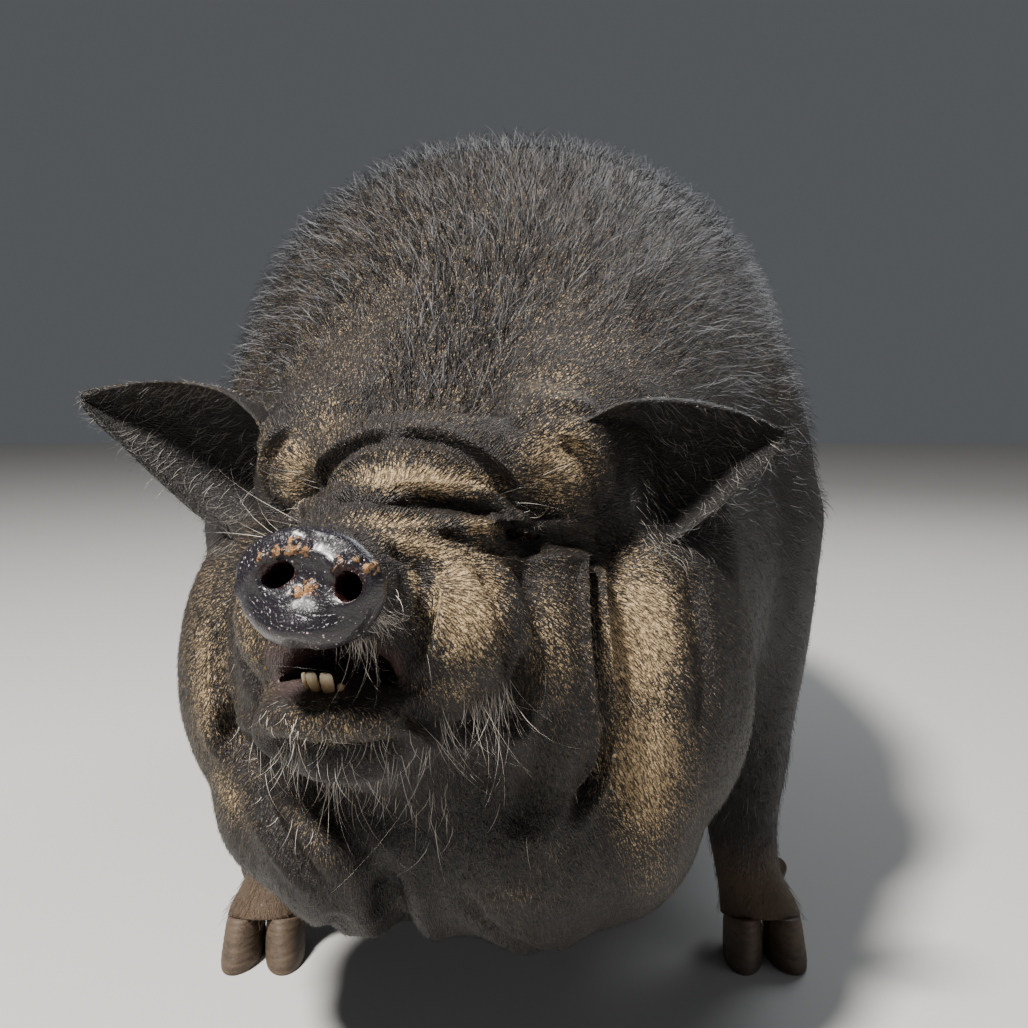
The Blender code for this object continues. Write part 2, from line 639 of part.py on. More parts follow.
def grow_mane(hosts):
    """Roots the locks of the back in the nodes that they stand on and fuses them with each node in one step."""
    graph = bpy.context.evaluated_depsgraph_get()
    trees = [BVHTree.FromObject(host, graph) for host in hosts]
    locks = [[] for _ in hosts]
    for y, angle, rng in mane_spots():
        out = Vector((math.sin(angle), 0, math.cos(angle)))
        start = Vector((0, y, 0.33)) + out * 0.6
        hits = [(tree.ray_cast(start, -out), i) for i, tree in enumerate(trees)]
        hits = [(hit, i) for hit, i in hits if hit[0] is not None]
        if not hits:
            continue
        (spot, normal, _, _), owner = min(hits, key=lambda h: h[0][3])
        ahead = (spot - NECK_CUT[0]).dot(NECK_CUT[1]), -(spot - HEAD_CUT[0]).dot(HEAD_CUT[1])
        if any(-0.016 < gap < 0.034 for gap in ahead):
            continue
        high = max(0.0, math.cos(angle))
        length = (0.050 + 0.020 * high) * rng.uniform(0.85, 1.12)
        lift = math.radians(11 + 10 * high + rng.uniform(-3, 3))
        lie = Vector((0.25 * math.sin(angle), 1, -0.2 * abs(math.sin(angle))))
        bm = bmesh.new()
        add_lock(bm, spot, normal, lie, length, rng.uniform(0.042, 0.053), 0.0060, lift, math.radians(6),
                 rng.uniform(-0.22, 0.22))
        locks[owner].append(bm)
    for host, pieces in zip(hosts, locks):
        fuse_all(host, pieces)


def fuse_all(host, pieces):
    """One union of the host with a collection of closed meshes, which are then removed."""
    if not pieces:
        return
    group = bpy.data.collections.new("locks")
    bpy.context.scene.collection.children.link(group)
    for bm in pieces:
        mesh = bpy.data.meshes.new("lock")
        bmesh.ops.triangulate(bm, faces=bm.faces[:])
        bm.to_mesh(mesh)
        bm.free()
        group.objects.link(bpy.data.objects.new("lock", mesh))
    step = host.modifiers.new("fuse", "BOOLEAN")
    step.operation = "UNION"
    step.operand_type = "COLLECTION"
    step.collection = group
    step.solver = "EXACT"
    apply_modifiers(host)
    remove(*group.objects)
    bpy.data.collections.remove(group)
    keep_largest(host)


def tail(host):
    """A straight thin tail that hangs behind the rump and ends in a brush."""
    bm = bmesh.new()
    add_limb(bm, WORLD, [(0, 0.468, 0.436, 0.0150, 0.0150), (0, 0.508, 0.420, 0.0130, 0.0130),
                         (0.002, 0.528, 0.375, 0.0105, 0.0105), (0.004, 0.534, 0.310, 0.0085, 0.0085),
                         (0.003, 0.535, 0.265, 0.0065, 0.0065), (0.002, 0.535, 0.232, 0.0035, 0.0035)], 8, 2)
    obj = object_from("tail", bm)
    boolean(obj, grown(host, GAP), "DIFFERENCE")
    brush = []
    for i in range(TAIL_LOCKS):
        turn = 2 * math.pi * i / TAIL_LOCKS
        out = Vector((math.cos(turn), 0.7 * math.sin(turn), 0))
        bm = bmesh.new()
        root = Vector((0.003, 0.535, 0.262 - 0.006 * (i % 3))) + out * 0.004
        add_lock(bm, root, out.normalized(), Vector((0, 0, -1)), 0.058 + 0.008 * (i % 2), 0.0085, 0.0040,
                 math.radians(17), math.radians(9))
        brush.append(bm)
    fuse_all(obj, brush)
    return keep_largest(obj)


clear_scene()
hide = finish_material("hide", (0.050, 0.045, 0.042), 0.60)
horn = finish_material("horn", (0.150, 0.110, 0.075), 0.50)
cornea = finish_material("cornea", (0.030, 0.018, 0.010), 0.08)
enamel = finish_material("enamel", (0.700, 0.620, 0.450), 0.25)

thin_skin = flesh()
thin_out(thin_skin, FLESH_TRIANGLES)

head = head_node()
neck = neck_node()
torso = torso_node()
tail_piece = tail(torso)
grow_mane([head, neck, torso])
fleshy = [head, neck, torso, tail_piece]
fleshy += [ear("ear_left", 1, head), ear("ear_right", -1, head)]
horny = []
for leg_name, side, x, y in FEET:
    limb = leg(leg_name, side, x, y)
    fleshy.append(limb)
    short = leg_name.replace("leg", "")
    for toe, place in ((side, "outer"), (-side, "inner")):
        horny.append(hoof(f"hoof_{short}_{place}", side, x, y, toe))
        horny.append(dewclaw(f"dewclaw_{short}_{place}", side, x, y, toe, limb))
eyes = [eye("eye_left", 1), eye("eye_right", -1)]
teeth = [tooth("incisor_left", 1), tooth("incisor_right", -1)]
remove(thin_skin)

for group, material in ((fleshy, hide), (horny, horn), (eyes, cornea), (teeth, enamel)):
    for obj in group:
        obj.data.materials.clear()
        obj.data.materials.append(material)
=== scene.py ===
"""Life-size still model of a very fat, black, grown pot-bellied pig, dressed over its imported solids.

Metres, +Z up. The pig faces -Y and its left side is +X. The head is low and turned a little to its right.
"""

import math

import bmesh
import bpy
import numpy as np
from mathutils import Euler, Matrix, Vector, noise
from mathutils.bvhtree import BVHTree
from mathutils.kdtree import KDTree


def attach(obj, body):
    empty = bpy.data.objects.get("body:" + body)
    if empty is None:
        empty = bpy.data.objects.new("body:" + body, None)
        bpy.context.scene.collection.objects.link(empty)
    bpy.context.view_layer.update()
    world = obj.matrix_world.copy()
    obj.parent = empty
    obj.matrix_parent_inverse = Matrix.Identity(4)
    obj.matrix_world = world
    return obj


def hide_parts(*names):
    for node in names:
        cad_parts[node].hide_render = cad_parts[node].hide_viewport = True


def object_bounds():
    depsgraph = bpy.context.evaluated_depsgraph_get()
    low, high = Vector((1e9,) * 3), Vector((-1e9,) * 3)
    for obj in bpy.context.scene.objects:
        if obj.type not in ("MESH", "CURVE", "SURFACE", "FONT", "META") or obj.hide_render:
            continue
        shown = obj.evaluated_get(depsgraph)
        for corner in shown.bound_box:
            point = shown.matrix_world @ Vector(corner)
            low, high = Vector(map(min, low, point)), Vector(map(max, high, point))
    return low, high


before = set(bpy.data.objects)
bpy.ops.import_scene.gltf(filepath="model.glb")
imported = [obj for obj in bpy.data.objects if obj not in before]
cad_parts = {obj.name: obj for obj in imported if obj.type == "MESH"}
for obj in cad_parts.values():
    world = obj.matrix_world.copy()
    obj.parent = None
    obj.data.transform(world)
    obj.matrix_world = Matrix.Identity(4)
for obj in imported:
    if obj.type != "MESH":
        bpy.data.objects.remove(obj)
solid_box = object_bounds()


# The flesh. One closed skin runs from the snout to the rump and down to the hooves, as a taxidermist's clay
# body does: fat lumps over skull, cheeks and shoulders, a barrel and four short legs, fused and then smoothed
# by hand, more on the trunk than on the face.

CLAY_GRAIN = 0.0040
BODY_SOFTNESS = 0.015
CHEEK_SOFTNESS = 0.0055
FACE_SOFTNESS = 0.0030
RUMP_Y = 0.506

HEAD_CENTRE = Vector((-0.0355, -0.354, 0.354))
HEAD_YAW = math.radians(-12)
SNOUT_PIVOT = Vector((0, -0.070, -0.045))
SNOUT_SWING = math.radians(-4.0)
HEAD = Matrix.Translation(HEAD_CENTRE) @ Matrix.Rotation(HEAD_YAW, 4, "Z")
SNOUT = (HEAD @ Matrix.Translation(SNOUT_PIVOT) @ Matrix.Rotation(SNOUT_SWING, 4, "Z")
         @ Matrix.Translation(-SNOUT_PIVOT))
WORLD = Matrix.Identity(4)

BACK_LINE = [(-0.36, 0.405), (-0.26, 0.478), (-0.15, 0.536), (-0.03, 0.572), (0.12, 0.562), (0.28, 0.556),
             (0.40, 0.520), (0.48, 0.455), (RUMP_Y, 0.385)]
BELLY_LINE = [(-0.36, 0.150), (-0.26, 0.118), (-0.15, 0.106), (-0.03, 0.088), (0.12, 0.068), (0.28, 0.078),
              (0.40, 0.148), (0.48, 0.235), (RUMP_Y, 0.320)]
WIDTH_LINE = [(-0.36, 0.120), (-0.26, 0.164), (-0.15, 0.200), (-0.03, 0.228), (0.12, 0.243), (0.28, 0.232),
              (0.40, 0.193), (0.48, 0.125), (RUMP_Y, 0.045)]


def object_from(name, bm):
    bmesh.ops.triangulate(bm, faces=bm.faces[:])
    mesh = bpy.data.meshes.new(name)
    bm.to_mesh(mesh)
    bm.free()
    obj = bpy.data.objects.new(name, mesh)
    bpy.context.scene.collection.objects.link(obj)
    return obj


def apply_modifiers(obj):
    """Replaces the object's mesh by what its modifiers make of it."""
    graph = bpy.context.evaluated_depsgraph_get()
    mesh = bpy.data.meshes.new_from_object(obj.evaluated_get(graph))
    obj.modifiers.clear()
    obj.data = mesh
    return obj


def join_or_cut(obj, other, operation, solver="MANIFOLD"):
    """Joins the flesh with one closed body, or cuts that body away."""
    step = obj.modifiers.new(operation.lower(), "BOOLEAN")
    step.operation = operation
    step.solver = solver
    step.object = other
    apply_modifiers(obj)
    bpy.data.objects.remove(other)
    return obj


def smooth_line(keys, count):
    """Points of a Catmull-Rom curve through keys, each a row of any length."""
    keys = np.array(keys, float)
    ends = np.vstack([2 * keys[0] - keys[1], keys, 2 * keys[-1] - keys[-2]])
    found = []
    for s in np.linspace(0, len(keys) - 1, count):
        i = min(int(s), len(keys) - 2)
        t = s - i
        a, b, c, d = ends[i : i + 4]
        curved = (2 * a - 5 * b + 4 * c - d) * t * t + (3 * b - a - 3 * c + d) * t**3
        found.append(0.5 * (2 * b + (c - a) * t + curved))
    return np.array(found)


def value_at(line, y):
    """Height or width of a line of the body at y, eased between its keys."""
    dense = smooth_line(line, 12 * len(line))
    return float(np.interp(y, dense[:, 0], dense[:, 1]))


def add_loft(bm, rings):
    """Skins rings of equally many points into one closed body."""
    loops = [[bm.verts.new(p) for p in ring] for ring in rings]
    made = []
    for a, b in zip(loops, loops[1:]):
        for i in range(len(a)):
            j = (i + 1) % len(a)
            made.append(bm.faces.new((a[i], a[j], b[j], b[i])))
    made.append(bm.faces.new(loops[0][::-1]))
    made.append(bm.faces.new(loops[-1]))
    bmesh.ops.recalc_face_normals(bm, faces=made)


def add_lump(bm, place, centre, radii, tilt=(0, 0, 0)):
    """An ellipsoid of flesh, tilted by degrees about its own x, y and z."""
    turn = Euler([math.radians(a) for a in tilt]).to_matrix().to_4x4()
    matrix = place @ Matrix.Translation(centre) @ turn @ Matrix.Diagonal((*radii, 1))
    bmesh.ops.create_icosphere(bm, subdivisions=4, radius=1, matrix=matrix)


def add_pair(bm, place, centre, radii, tilt=(0, 0, 0)):
    """The same lump on both sides of the middle plane."""
    for side in (1, -1):
        turned = (tilt[0], side * tilt[1], side * tilt[2])
        add_lump(bm, place, (side * centre[0], *centre[1:]), radii, turned)


def add_limb(bm, place, joints, sides=24, steps=10):
    """A tapered limb through joints of (x, y, z, half width, half depth), with rings square to its path."""
    line = smooth_line(joints, steps * len(joints))
    rings = []
    for i, row in enumerate(line):
        along = Vector(line[min(i + 1, len(line) - 1)][:3] - line[max(i - 1, 0)][:3]).normalized()
        depth = along.cross(Vector((1, 0, 0))).normalized()
        width = depth.cross(along)
        angles = (2 * math.pi * k / sides for k in range(sides))
        rings.append([place @ (Vector(row[:3]) + width * row[3] * math.cos(a) + depth * row[4] * math.sin(a))
                      for a in angles])
    add_loft(bm, rings)


def add_trunk(bm, sides=72, stations=60):
    """The barrel: sections a little square, widest below their middle."""
    rings = []
    for y in np.linspace(BACK_LINE[0][0], RUMP_Y, stations):
        top, bottom, half = (value_at(line, y) for line in (BACK_LINE, BELLY_LINE, WIDTH_LINE))
        middle = bottom + 0.47 * (top - bottom)
        ring = []
        for k in range(sides):
            a = 2 * math.pi * k / sides
            c, s = math.cos(a), math.sin(a)
            x = half * math.copysign(abs(c) ** 0.92, c)
            z = middle + (top - middle if s > 0 else middle - bottom) * math.copysign(abs(s) ** 0.92, s)
            ring.append((x, y, z))
        rings.append(ring)
    add_loft(bm, rings)


# The left legs from shoulder or hip down as (x, y, z, half width, half depth)
FORELEG = [(0.140, -0.150, 0.300, 0.080, 0.100), (0.150, -0.160, 0.200, 0.058, 0.075),
           (0.157, -0.172, 0.130, 0.038, 0.044), (0.158, -0.183, 0.085, 0.026, 0.029),
           (0.163, -0.188, 0.050, 0.0235, 0.025), (0.170, -0.196, 0.022, 0.028, 0.030),
           (0.172, -0.200, 0.004, 0.028, 0.030)]
HINDLEG = [(0.110, 0.300, 0.320, 0.090, 0.130), (0.130, 0.320, 0.215, 0.070, 0.095),
           (0.142, 0.355, 0.145, 0.038, 0.046), (0.143, 0.372, 0.105, 0.026, 0.033),
           (0.145, 0.352, 0.055, 0.0235, 0.026), (0.148, 0.338, 0.022, 0.028, 0.030),
           (0.148, 0.334, 0.004, 0.028, 0.030)]
# The muzzle from its root to the disc, in the same terms
MUZZLE = [(0, -0.040, -0.055, 0.060, 0.052), (0, -0.095, -0.050, 0.053, 0.042),
          (0, -0.135, -0.046, 0.037, 0.031), (0, -0.163, -0.044, 0.030, 0.0245),
          (0, -0.174, -0.043, 0.0325, 0.0260), (0, -0.182, -0.043, 0.0350, 0.0275),
          (0, -0.190, -0.043, 0.0350, 0.0270)]
# Lumps of skull, brow, cheeks and jowls as (in both halves, centre, radii, tilt)
SKULL_LUMPS = [
    (False, (0, 0.045, -0.002), (0.120, 0.130, 0.076), (32, 0, 0)),
    (True, (0.070, 0.105, 0.005), (0.070, 0.080, 0.080), (25, 0, 0)),
    (False, (0, 0.014, -0.060), (0.098, 0.092, 0.075), (0, 0, 0)),
    (True, (0.056, -0.026, -0.002), (0.038, 0.037, 0.040), (0, 20, 14)),
    (False, (0.006, -0.058, -0.001), (0.062, 0.040, 0.025), (-14, 0, 0)),
    (False, (0.004, -0.080, -0.028), (0.056, 0.038, 0.021), (-10, 0, 0)),
    (True, (0.058, -0.046, -0.098), (0.038, 0.048, 0.074), (0, 0, 10)),
    (True, (0.103, 0.034, -0.122), (0.060, 0.084, 0.098), (0, -4, 0)),
    (True, (0.076, 0.020, -0.188), (0.064, 0.078, 0.070), (0, 0, 0)),
    (False, (0, 0.020, -0.165), (0.118, 0.098, 0.104), (0, 0, 0)),
    (True, (0.048, -0.006, -0.182), (0.066, 0.070, 0.082), (0, 0, 0)),
]
# Lumps of disc, upper lips and lower jaw in the snout's frame
MUZZLE_LUMPS = [
    (False, (0, -0.181, -0.054), (0.030, 0.014, 0.0195), (0, 0, 0)),
    (True, (0.033, -0.108, -0.068), (0.035, 0.037, 0.037), (0, 0, 18)),
    (False, (-0.006, -0.112, -0.107), (0.046, 0.055, 0.024), (6, 0, 0)),
]
JAW_ROOT = (False, (-0.010, -0.055, -0.122), (0.062, 0.062, 0.048), (0, 0, 0))
# Shoulders, hams and chest
TRUNK_LUMPS = [
    (True, (0.125, -0.150, 0.290), (0.088, 0.115, 0.165), (0, 0, 0)),
    (True, (0.108, 0.330, 0.290), (0.100, 0.135, 0.180), (0, 0, 0)),
    (False, (0, -0.235, 0.300), (0.160, 0.110, 0.185), (0, 0, 0)),
]


def add_legs(bm):
    for side in (1, -1):
        for leg in (FORELEG, HINDLEG):
            add_limb(bm, WORLD, [(side * x, *rest) for x, *rest in leg])


def add_lumps(bm, place, lumps):
    for paired, centre, radii, tilt in lumps:
        add = add_pair if paired else add_lump
        add(bm, place, centre, radii, tilt)


# Outline of the gap between the lips as (x, z), and how it narrows towards the throat as (y, share)
MOUTH_OUTLINE = [(-0.036, -0.0935), (-0.026, -0.0795), (-0.015, -0.0690), (-0.005, -0.0675), (0.006, -0.0720),
                 (0.014, -0.0800), (0.022, -0.0910), (0.010, -0.0895), (-0.006, -0.0880), (-0.022, -0.0900)]
MOUTH_DEPTHS = [(-0.171, 1.0), (-0.160, 1.0), (-0.135, 0.92), (-0.118, 0.70), (-0.108, 0.40)]


def mouth_cutter():
    """The gap between the lips, which shows the lower front teeth."""
    middle = Vector((-0.006, 0, -0.080))
    outline = smooth_line(MOUTH_OUTLINE + MOUTH_OUTLINE[:1], 48)[:-1]
    rings = []
    for y, share in MOUTH_DEPTHS:
        inner = Vector((middle.x, y, middle.z))
        rings.append([SNOUT @ Vector((x, y, z)).lerp(inner, 1 - share) for x, z in outline])
    bm = bmesh.new()
    add_loft(bm, rings)
    return object_from("mouth", bm)


def points_of(mesh):
    points = np.empty(len(mesh.vertices) * 3, np.float32)
    mesh.vertices.foreach_get("co", points)
    return points.reshape(-1, 3).astype(float)


def set_points(mesh, points):
    mesh.vertices.foreach_set("co", points.astype(np.float32).ravel())
    mesh.update()


def normals_of(mesh):
    normals = np.empty(len(mesh.vertices) * 3, np.float32)
    mesh.vertices.foreach_get("normal", normals)
    return normals.reshape(-1, 3).astype(float)


def in_frame(points, place):
    """World points in a frame of the pig, such as its head's."""
    return (points - np.array(place.translation)) @ np.array(place.to_3x3())


def from_frame(points, place):
    """The same points back in the world."""
    return points @ np.array(place.to_3x3()).T + np.array(place.translation)


def ramp(values, low, high):
    """0 below low, 1 above high and an eased slope between."""
    t = np.clip((values - low) / (high - low), 0, 1)
    return t * t * (3 - 2 * t)


def body_share(points):
    """1 on the trunk, easing to 0 on the face and the feet."""
    back = np.clip((in_frame(points, HEAD)[:, 1] - 0.035) / 0.075, 0, 1)
    up = np.clip((points[:, 2] - 0.075) / 0.08, 0, 1)
    return back * np.maximum(up, np.abs(points[:, 1]) < 0.1)


def cheek_share(points):
    """1 on the cheeks, jowls and brow, easing to 0 on the snout and lips."""
    return np.clip((in_frame(points, HEAD)[:, 1] + 0.125) / 0.035, 0, 1)


def ease(obj, share, rounds):
    """Strokes the skin smooth: each point moves half way to the middle of its neighbours, by its share."""
    mesh = obj.data
    points = points_of(mesh)
    edges = np.empty(len(mesh.edges) * 2, np.int32)
    mesh.edges.foreach_get("vertices", edges)
    a, b = edges.reshape(-1, 2).T
    count = len(points)
    degree = np.maximum(np.bincount(a, minlength=count) + np.bincount(b, minlength=count), 1)
    step = 0.5 * (np.ones(count) if share is None else share(points))
    for _ in range(rounds):
        for k in range(3):
            column = points[:, k]
            around = np.bincount(a, column[b], count) + np.bincount(b, column[a], count)
            points[:, k] = column + step * (around / degree - column)
    set_points(mesh, points)


def rounds_for(radius, grain):
    return max(1, round(2 * (radius / grain) ** 2))


def refine(obj, zone):
    """Splits each face in the zone in four, so that the fine folds have points to lie on."""
    bm = bmesh.new()
    bm.from_mesh(obj.data)
    centres = np.array([f.calc_center_median() for f in bm.faces])
    wanted = zone(centres)
    edges = {e for f, inside in zip(bm.faces, wanted) if inside for e in f.edges}
    bmesh.ops.subdivide_edges(bm, edges=list(edges), cuts=1, use_grid_fill=True)
    bm.to_mesh(obj.data)
    bm.free()


def head_zone(points):
    p = in_frame(points, HEAD)
    return (p[:, 1] < 0.075) & (p[:, 2] > -0.30)


def face_zone(points):
    p = in_frame(points, HEAD)
    return (p[:, 1] < -0.040) & (np.abs(p[:, 0]) < 0.108) & (p[:, 2] > -0.180) & (p[:, 2] < 0.032)


clay = bmesh.new()
add_trunk(clay)
add_legs(clay)
add_lumps(clay, WORLD, TRUNK_LUMPS)
add_lumps(clay, HEAD, SKULL_LUMPS)
add_limb(clay, SNOUT, MUZZLE, 40)
add_lumps(clay, SNOUT, MUZZLE_LUMPS)
add_lumps(clay, HEAD, [JAW_ROOT])
skin = object_from("skin", clay)
fuse = skin.modifiers.new("fuse", "REMESH")
fuse.mode = "VOXEL"
fuse.voxel_size = CLAY_GRAIN
apply_modifiers(skin)
join_or_cut(skin, mouth_cutter(), "DIFFERENCE")
ease(skin, body_share, rounds_for(BODY_SOFTNESS, CLAY_GRAIN))
ease(skin, cheek_share, rounds_for(CHEEK_SOFTNESS, CLAY_GRAIN))
ease(skin, None, rounds_for(FACE_SOFTNESS, CLAY_GRAIN))
refine(skin, head_zone)
ease(skin, None, 2)
refine(skin, face_zone)
ease(skin, None, 2)


# The folds. Fat folds the face over the eyes, behind the cheeks and under the chin. Each is a line pressed
# into the soft skin with a blunt tool, which lifts a little roll on both sides of it. The near side's are
# drawn as they look from the camera's place, the far side's in the head's frame.

CAMERA_PLACE = Vector((0, -0.986, 0.394))
CAMERA_PITCH = math.radians(6.61)
CAMERA_TURN = Matrix.Rotation(-CAMERA_PITCH, 3, "X")
PICTURE_MIDDLE = 514
PICTURE_REACH = 1200

# Lines in the head's frame, width, depth and the sides of the pig that have the fold
HEAD_FOLDS = [
    ([(0.083, -0.044, -0.020), (0.082, -0.046, -0.040), (0.083, -0.050, -0.065), (0.084, -0.054, -0.092),
      (0.084, -0.054, -0.118), (0.081, -0.050, -0.146), (0.070, -0.043, -0.174)], 0.0040, 0.0135, (-1,)),
    ([(0.082, -0.048, -0.032), (0.084, -0.047, -0.042), (0.085, -0.047, -0.052)], 0.0085, 0.0080, (-1,)),
    ([(0.049, -0.089, -0.045), (0.062, -0.091, -0.058), (0.067, -0.090, -0.076), (0.063, -0.091, -0.098),
      (0.050, -0.093, -0.118)], 0.0060, 0.0060, (-1,)),
    ([(0.030, -0.095, -0.030), (0.042, -0.084, -0.034), (0.055, -0.074, -0.037), (0.068, -0.063, -0.041),
      (0.080, -0.050, -0.043), (0.096, -0.026, -0.040)], 0.0046, 0.0105, (-1,)),
    ([(-0.012, -0.050, -0.195), (-0.016, -0.030, -0.225), (-0.018, 0.003, -0.262)], 0.0065, 0.0100, (1,)),
]

# Lines across and down in the picture, width, depth and how far the fold cuts up under the roll above it
PICTURE_FOLDS = [
    ([(320, 502), (340, 499), (370, 498), (405, 499), (439, 501), (467, 504), (492, 509), (517, 516)],
     0.0038, 0.0125, 0.4),
    ([(321, 494), (322, 474), (331, 461), (347, 450), (367, 441), (392, 436)], 0.0024, 0.0052, 0.0),
    ([(392, 436), (415, 436), (439, 440), (456, 447), (478, 460), (494, 474), (508, 489), (518, 506)],
     0.0025, 0.0056, 0.0),
    ([(286, 432), (270, 452), (263, 474), (267, 496), (280, 511), (300, 516)], 0.0034, 0.0045, 0.3),
    ([(438, 531), (464, 541), (489, 550), (510, 552)], 0.0022, 0.0045, 0.4),
    ([(498, 527), (512, 536), (526, 540), (548, 540), (575, 541), (598, 546)], 0.0042, 0.0105, 0.5),
    ([(560, 440), (584, 456), (600, 480), (607, 500), (606, 522)], 0.0050, 0.0050, 0.0),
    ([(607, 526), (614, 540), (609, 556)], 0.0080, 0.0100, 0.0),
    ([(600, 545), (595, 560), (594, 580), (596, 620), (599, 660), (603, 700), (602, 740), (592, 780),
      (575, 815)], 0.0032, 0.0135, 0.0),
    ([(388, 545), (410, 555), (422, 569), (426, 589), (426, 611), (420, 640), (406, 664)],
     0.0032, 0.0060, 0.0),
    ([(478, 556), (494, 577), (506, 594), (512, 622), (516, 655), (519, 690), (514, 716), (490, 728)],
     0.0055, 0.0085, 0.0),
    ([(232, 706), (240, 738), (276, 758), (330, 766), (382, 762), (414, 746)], 0.0068, 0.0120, 0.12),
    ([(404, 712), (430, 724), (462, 730), (492, 722)], 0.0045, 0.0070, 0.2),
    ([(230, 690), (238, 730), (250, 770), (268, 815), (295, 860), (325, 895)], 0.0050, 0.0070, 0.0),
    ([(300, 775), (322, 800), (344, 835), (362, 872)], 0.0060, 0.0060, 0.0),
    ([(560, 700), (548, 760), (530, 800), (505, 835)], 0.0070, 0.0060, 0.0),
    ([(690, 560), (700, 620), (706, 680), (700, 740)], 0.0060, 0.0040, 0.0),
]

# Soft rolls between the folds, and hollows: place and half sizes in the picture, tilt in degrees and height
SWELLS = [
    ((418, 474), (80, 19), 3, 0.0040), ((293, 475), (22, 34), 0, 0.0024), ((552, 482), (40, 34), 25, 0.0026),
    ((480, 525), (28, 10), 12, 0.0020), ((400, 514), (70, 7), 2, -0.0026), ((413, 590), (9, 28), -8, 0.0018),
    ((462, 625), (34, 58), 0, 0.0034), ((560, 640), (22, 70), 0, 0.0020), ((640, 680), (34, 90), 0, 0.0026),
    ((325, 724), (62, 14), -2, 0.0030), ((308, 826), (16, 46), -30, 0.0020),
    ((208, 720), (16, 80), -8, 0.0020), ((330, 808), (90, 30), 0, -0.0120),
    ((450, 778), (50, 34), 0, -0.0070),
]
SWELL_REACH = 0.030


def sight(u, v):
    """The camera's line of sight through a place in the picture."""
    across, up = (u - PICTURE_MIDDLE) / PICTURE_REACH, (PICTURE_MIDDLE - v) / PICTURE_REACH
    return (CAMERA_TURN @ Vector((across, 1, up))).normalized()


def seen_at(tree, u, v):
    """The place on the skin that shows there in the picture."""
    hit = tree.ray_cast(CAMERA_PLACE, sight(u, v))[0]
    return hit or tree.find_nearest(CAMERA_PLACE + 0.6 * sight(u, v))[0]


def picture_place(points):
    """Where points lie in the picture, across and down."""
    away = (points - np.array(CAMERA_PLACE)) @ np.array(CAMERA_TURN)
    return (PICTURE_MIDDLE + PICTURE_REACH * away[:, 0] / away[:, 1],
            PICTURE_MIDDLE - PICTURE_REACH * away[:, 2] / away[:, 1])


def head_paths(tree, folds):
    found = []
    for keys, width, depth, sides in folds:
        for side in sides:
            line = [HEAD @ Vector((side * x, y, z)) for x, y, z in smooth_line(keys, 60)]
            found.append((np.array([tree.find_nearest(p)[0] for p in line]), width, depth, 0.0))
    return found


def picture_paths(tree, folds):
    return [(np.array([seen_at(tree, u, v) for u, v in smooth_line(keys, 60)]), width, depth, under)
            for keys, width, depth, under in folds]


def tree_of(obj):
    return BVHTree.FromObject(obj, bpy.context.evaluated_depsgraph_get())


def line_distance(points, line, reach):
    """How far each point is from a line of points, and its place along it from 0 to 1."""
    away = np.full(len(points), 1.0)
    place = np.zeros(len(points))
    near = np.linalg.norm(points - line.mean(axis=0), axis=1) < reach
    gaps = np.linalg.norm(points[near][:, None] - line[None], axis=2)
    away[near] = gaps.min(axis=1)
    place[near] = gaps.argmin(axis=1) / (len(line) - 1)
    return away, place


def press_folds(obj, paths, roll=0.32):
    """Presses each fold into the skin along its path and lifts the skin on both sides of it."""
    mesh = obj.data
    points = points_of(mesh)
    inward = np.zeros(len(points))
    upward = np.zeros(len(points))
    lift = np.zeros(len(points))
    for line, width, depth, under in paths:
        away, place = line_distance(points, line, 0.14)
        ends = np.clip(6 * np.minimum(place, 1 - place) + 0.15, 0, 1)
        r = away / width
        pressed = ends * depth * np.exp(-r * r)
        inward = np.maximum(inward, pressed)
        upward = np.maximum(upward, under * pressed)
        lift = np.maximum(lift, roll * ends * depth * np.exp(-((r - 2.3) ** 2)))
    moved = points + normals_of(mesh) * (lift * np.exp(-inward / 0.002) - inward)[:, None]
    moved[:, 2] += upward
    set_points(mesh, moved)


def swell_rolls(obj, swells):
    """Plumps the skin between the folds."""
    mesh = obj.data
    points = points_of(mesh)
    tree = tree_of(obj)
    lift = np.zeros(len(points))
    for (u, v), (wide, tall), tilt, height in swells:
        centre = seen_at(tree, u, v)
        step = (centre - CAMERA_PLACE).length / PICTURE_REACH
        away = (points - np.array(centre)) @ np.array(CAMERA_TURN)
        c, s = math.cos(math.radians(tilt)), math.sin(math.radians(tilt))
        across = (away[:, 0] * c - away[:, 2] * s) / (wide * step)
        rise = (away[:, 2] * c + away[:, 0] * s) / (tall * step)
        lift += height * np.exp(-across**2 - rise**2 - (away[:, 1] / SWELL_REACH) ** 2)
    set_points(mesh, points + normals_of(mesh) * lift[:, None])


swell_rolls(skin, SWELLS)
skin_tree = tree_of(skin)
press_folds(skin, head_paths(skin_tree, HEAD_FOLDS) + picture_paths(skin_tree, PICTURE_FOLDS))
ease(skin, None, 2)


# The snout. A flat disc of tough bare skin stands on a short wrinkled neck: its rim is rolled, its lower pad
# bulges, and the nostrils open in its upper half.

DISC_CENTRE = Vector((0, -0.190, -0.043))
DISC_RADII = (0.0335, 0.0245)
NOSTRIL_SHIFT = 0.0055
NOSTRIL_PLACE = (0.0145, -0.192, -0.0355)
# Each nostril's half width, half height, slant in degrees and how much lower it lies
NOSTRIL_SHAPES = {1: (0.0054, 0.0054, 20, 0.0026), -1: (0.0066, 0.0038, -30, 0.0)}


def bump(values, middle, width):
    return np.exp(-(((values - middle) / width) ** 2))


def disc_depth(p):
    """How far ahead a point of the snout's frame lies, square to the disc, whose lower edge leans back."""
    return -p[:, 1] + 0.24 * np.clip(-0.030 - p[:, 2], 0, 0.045)


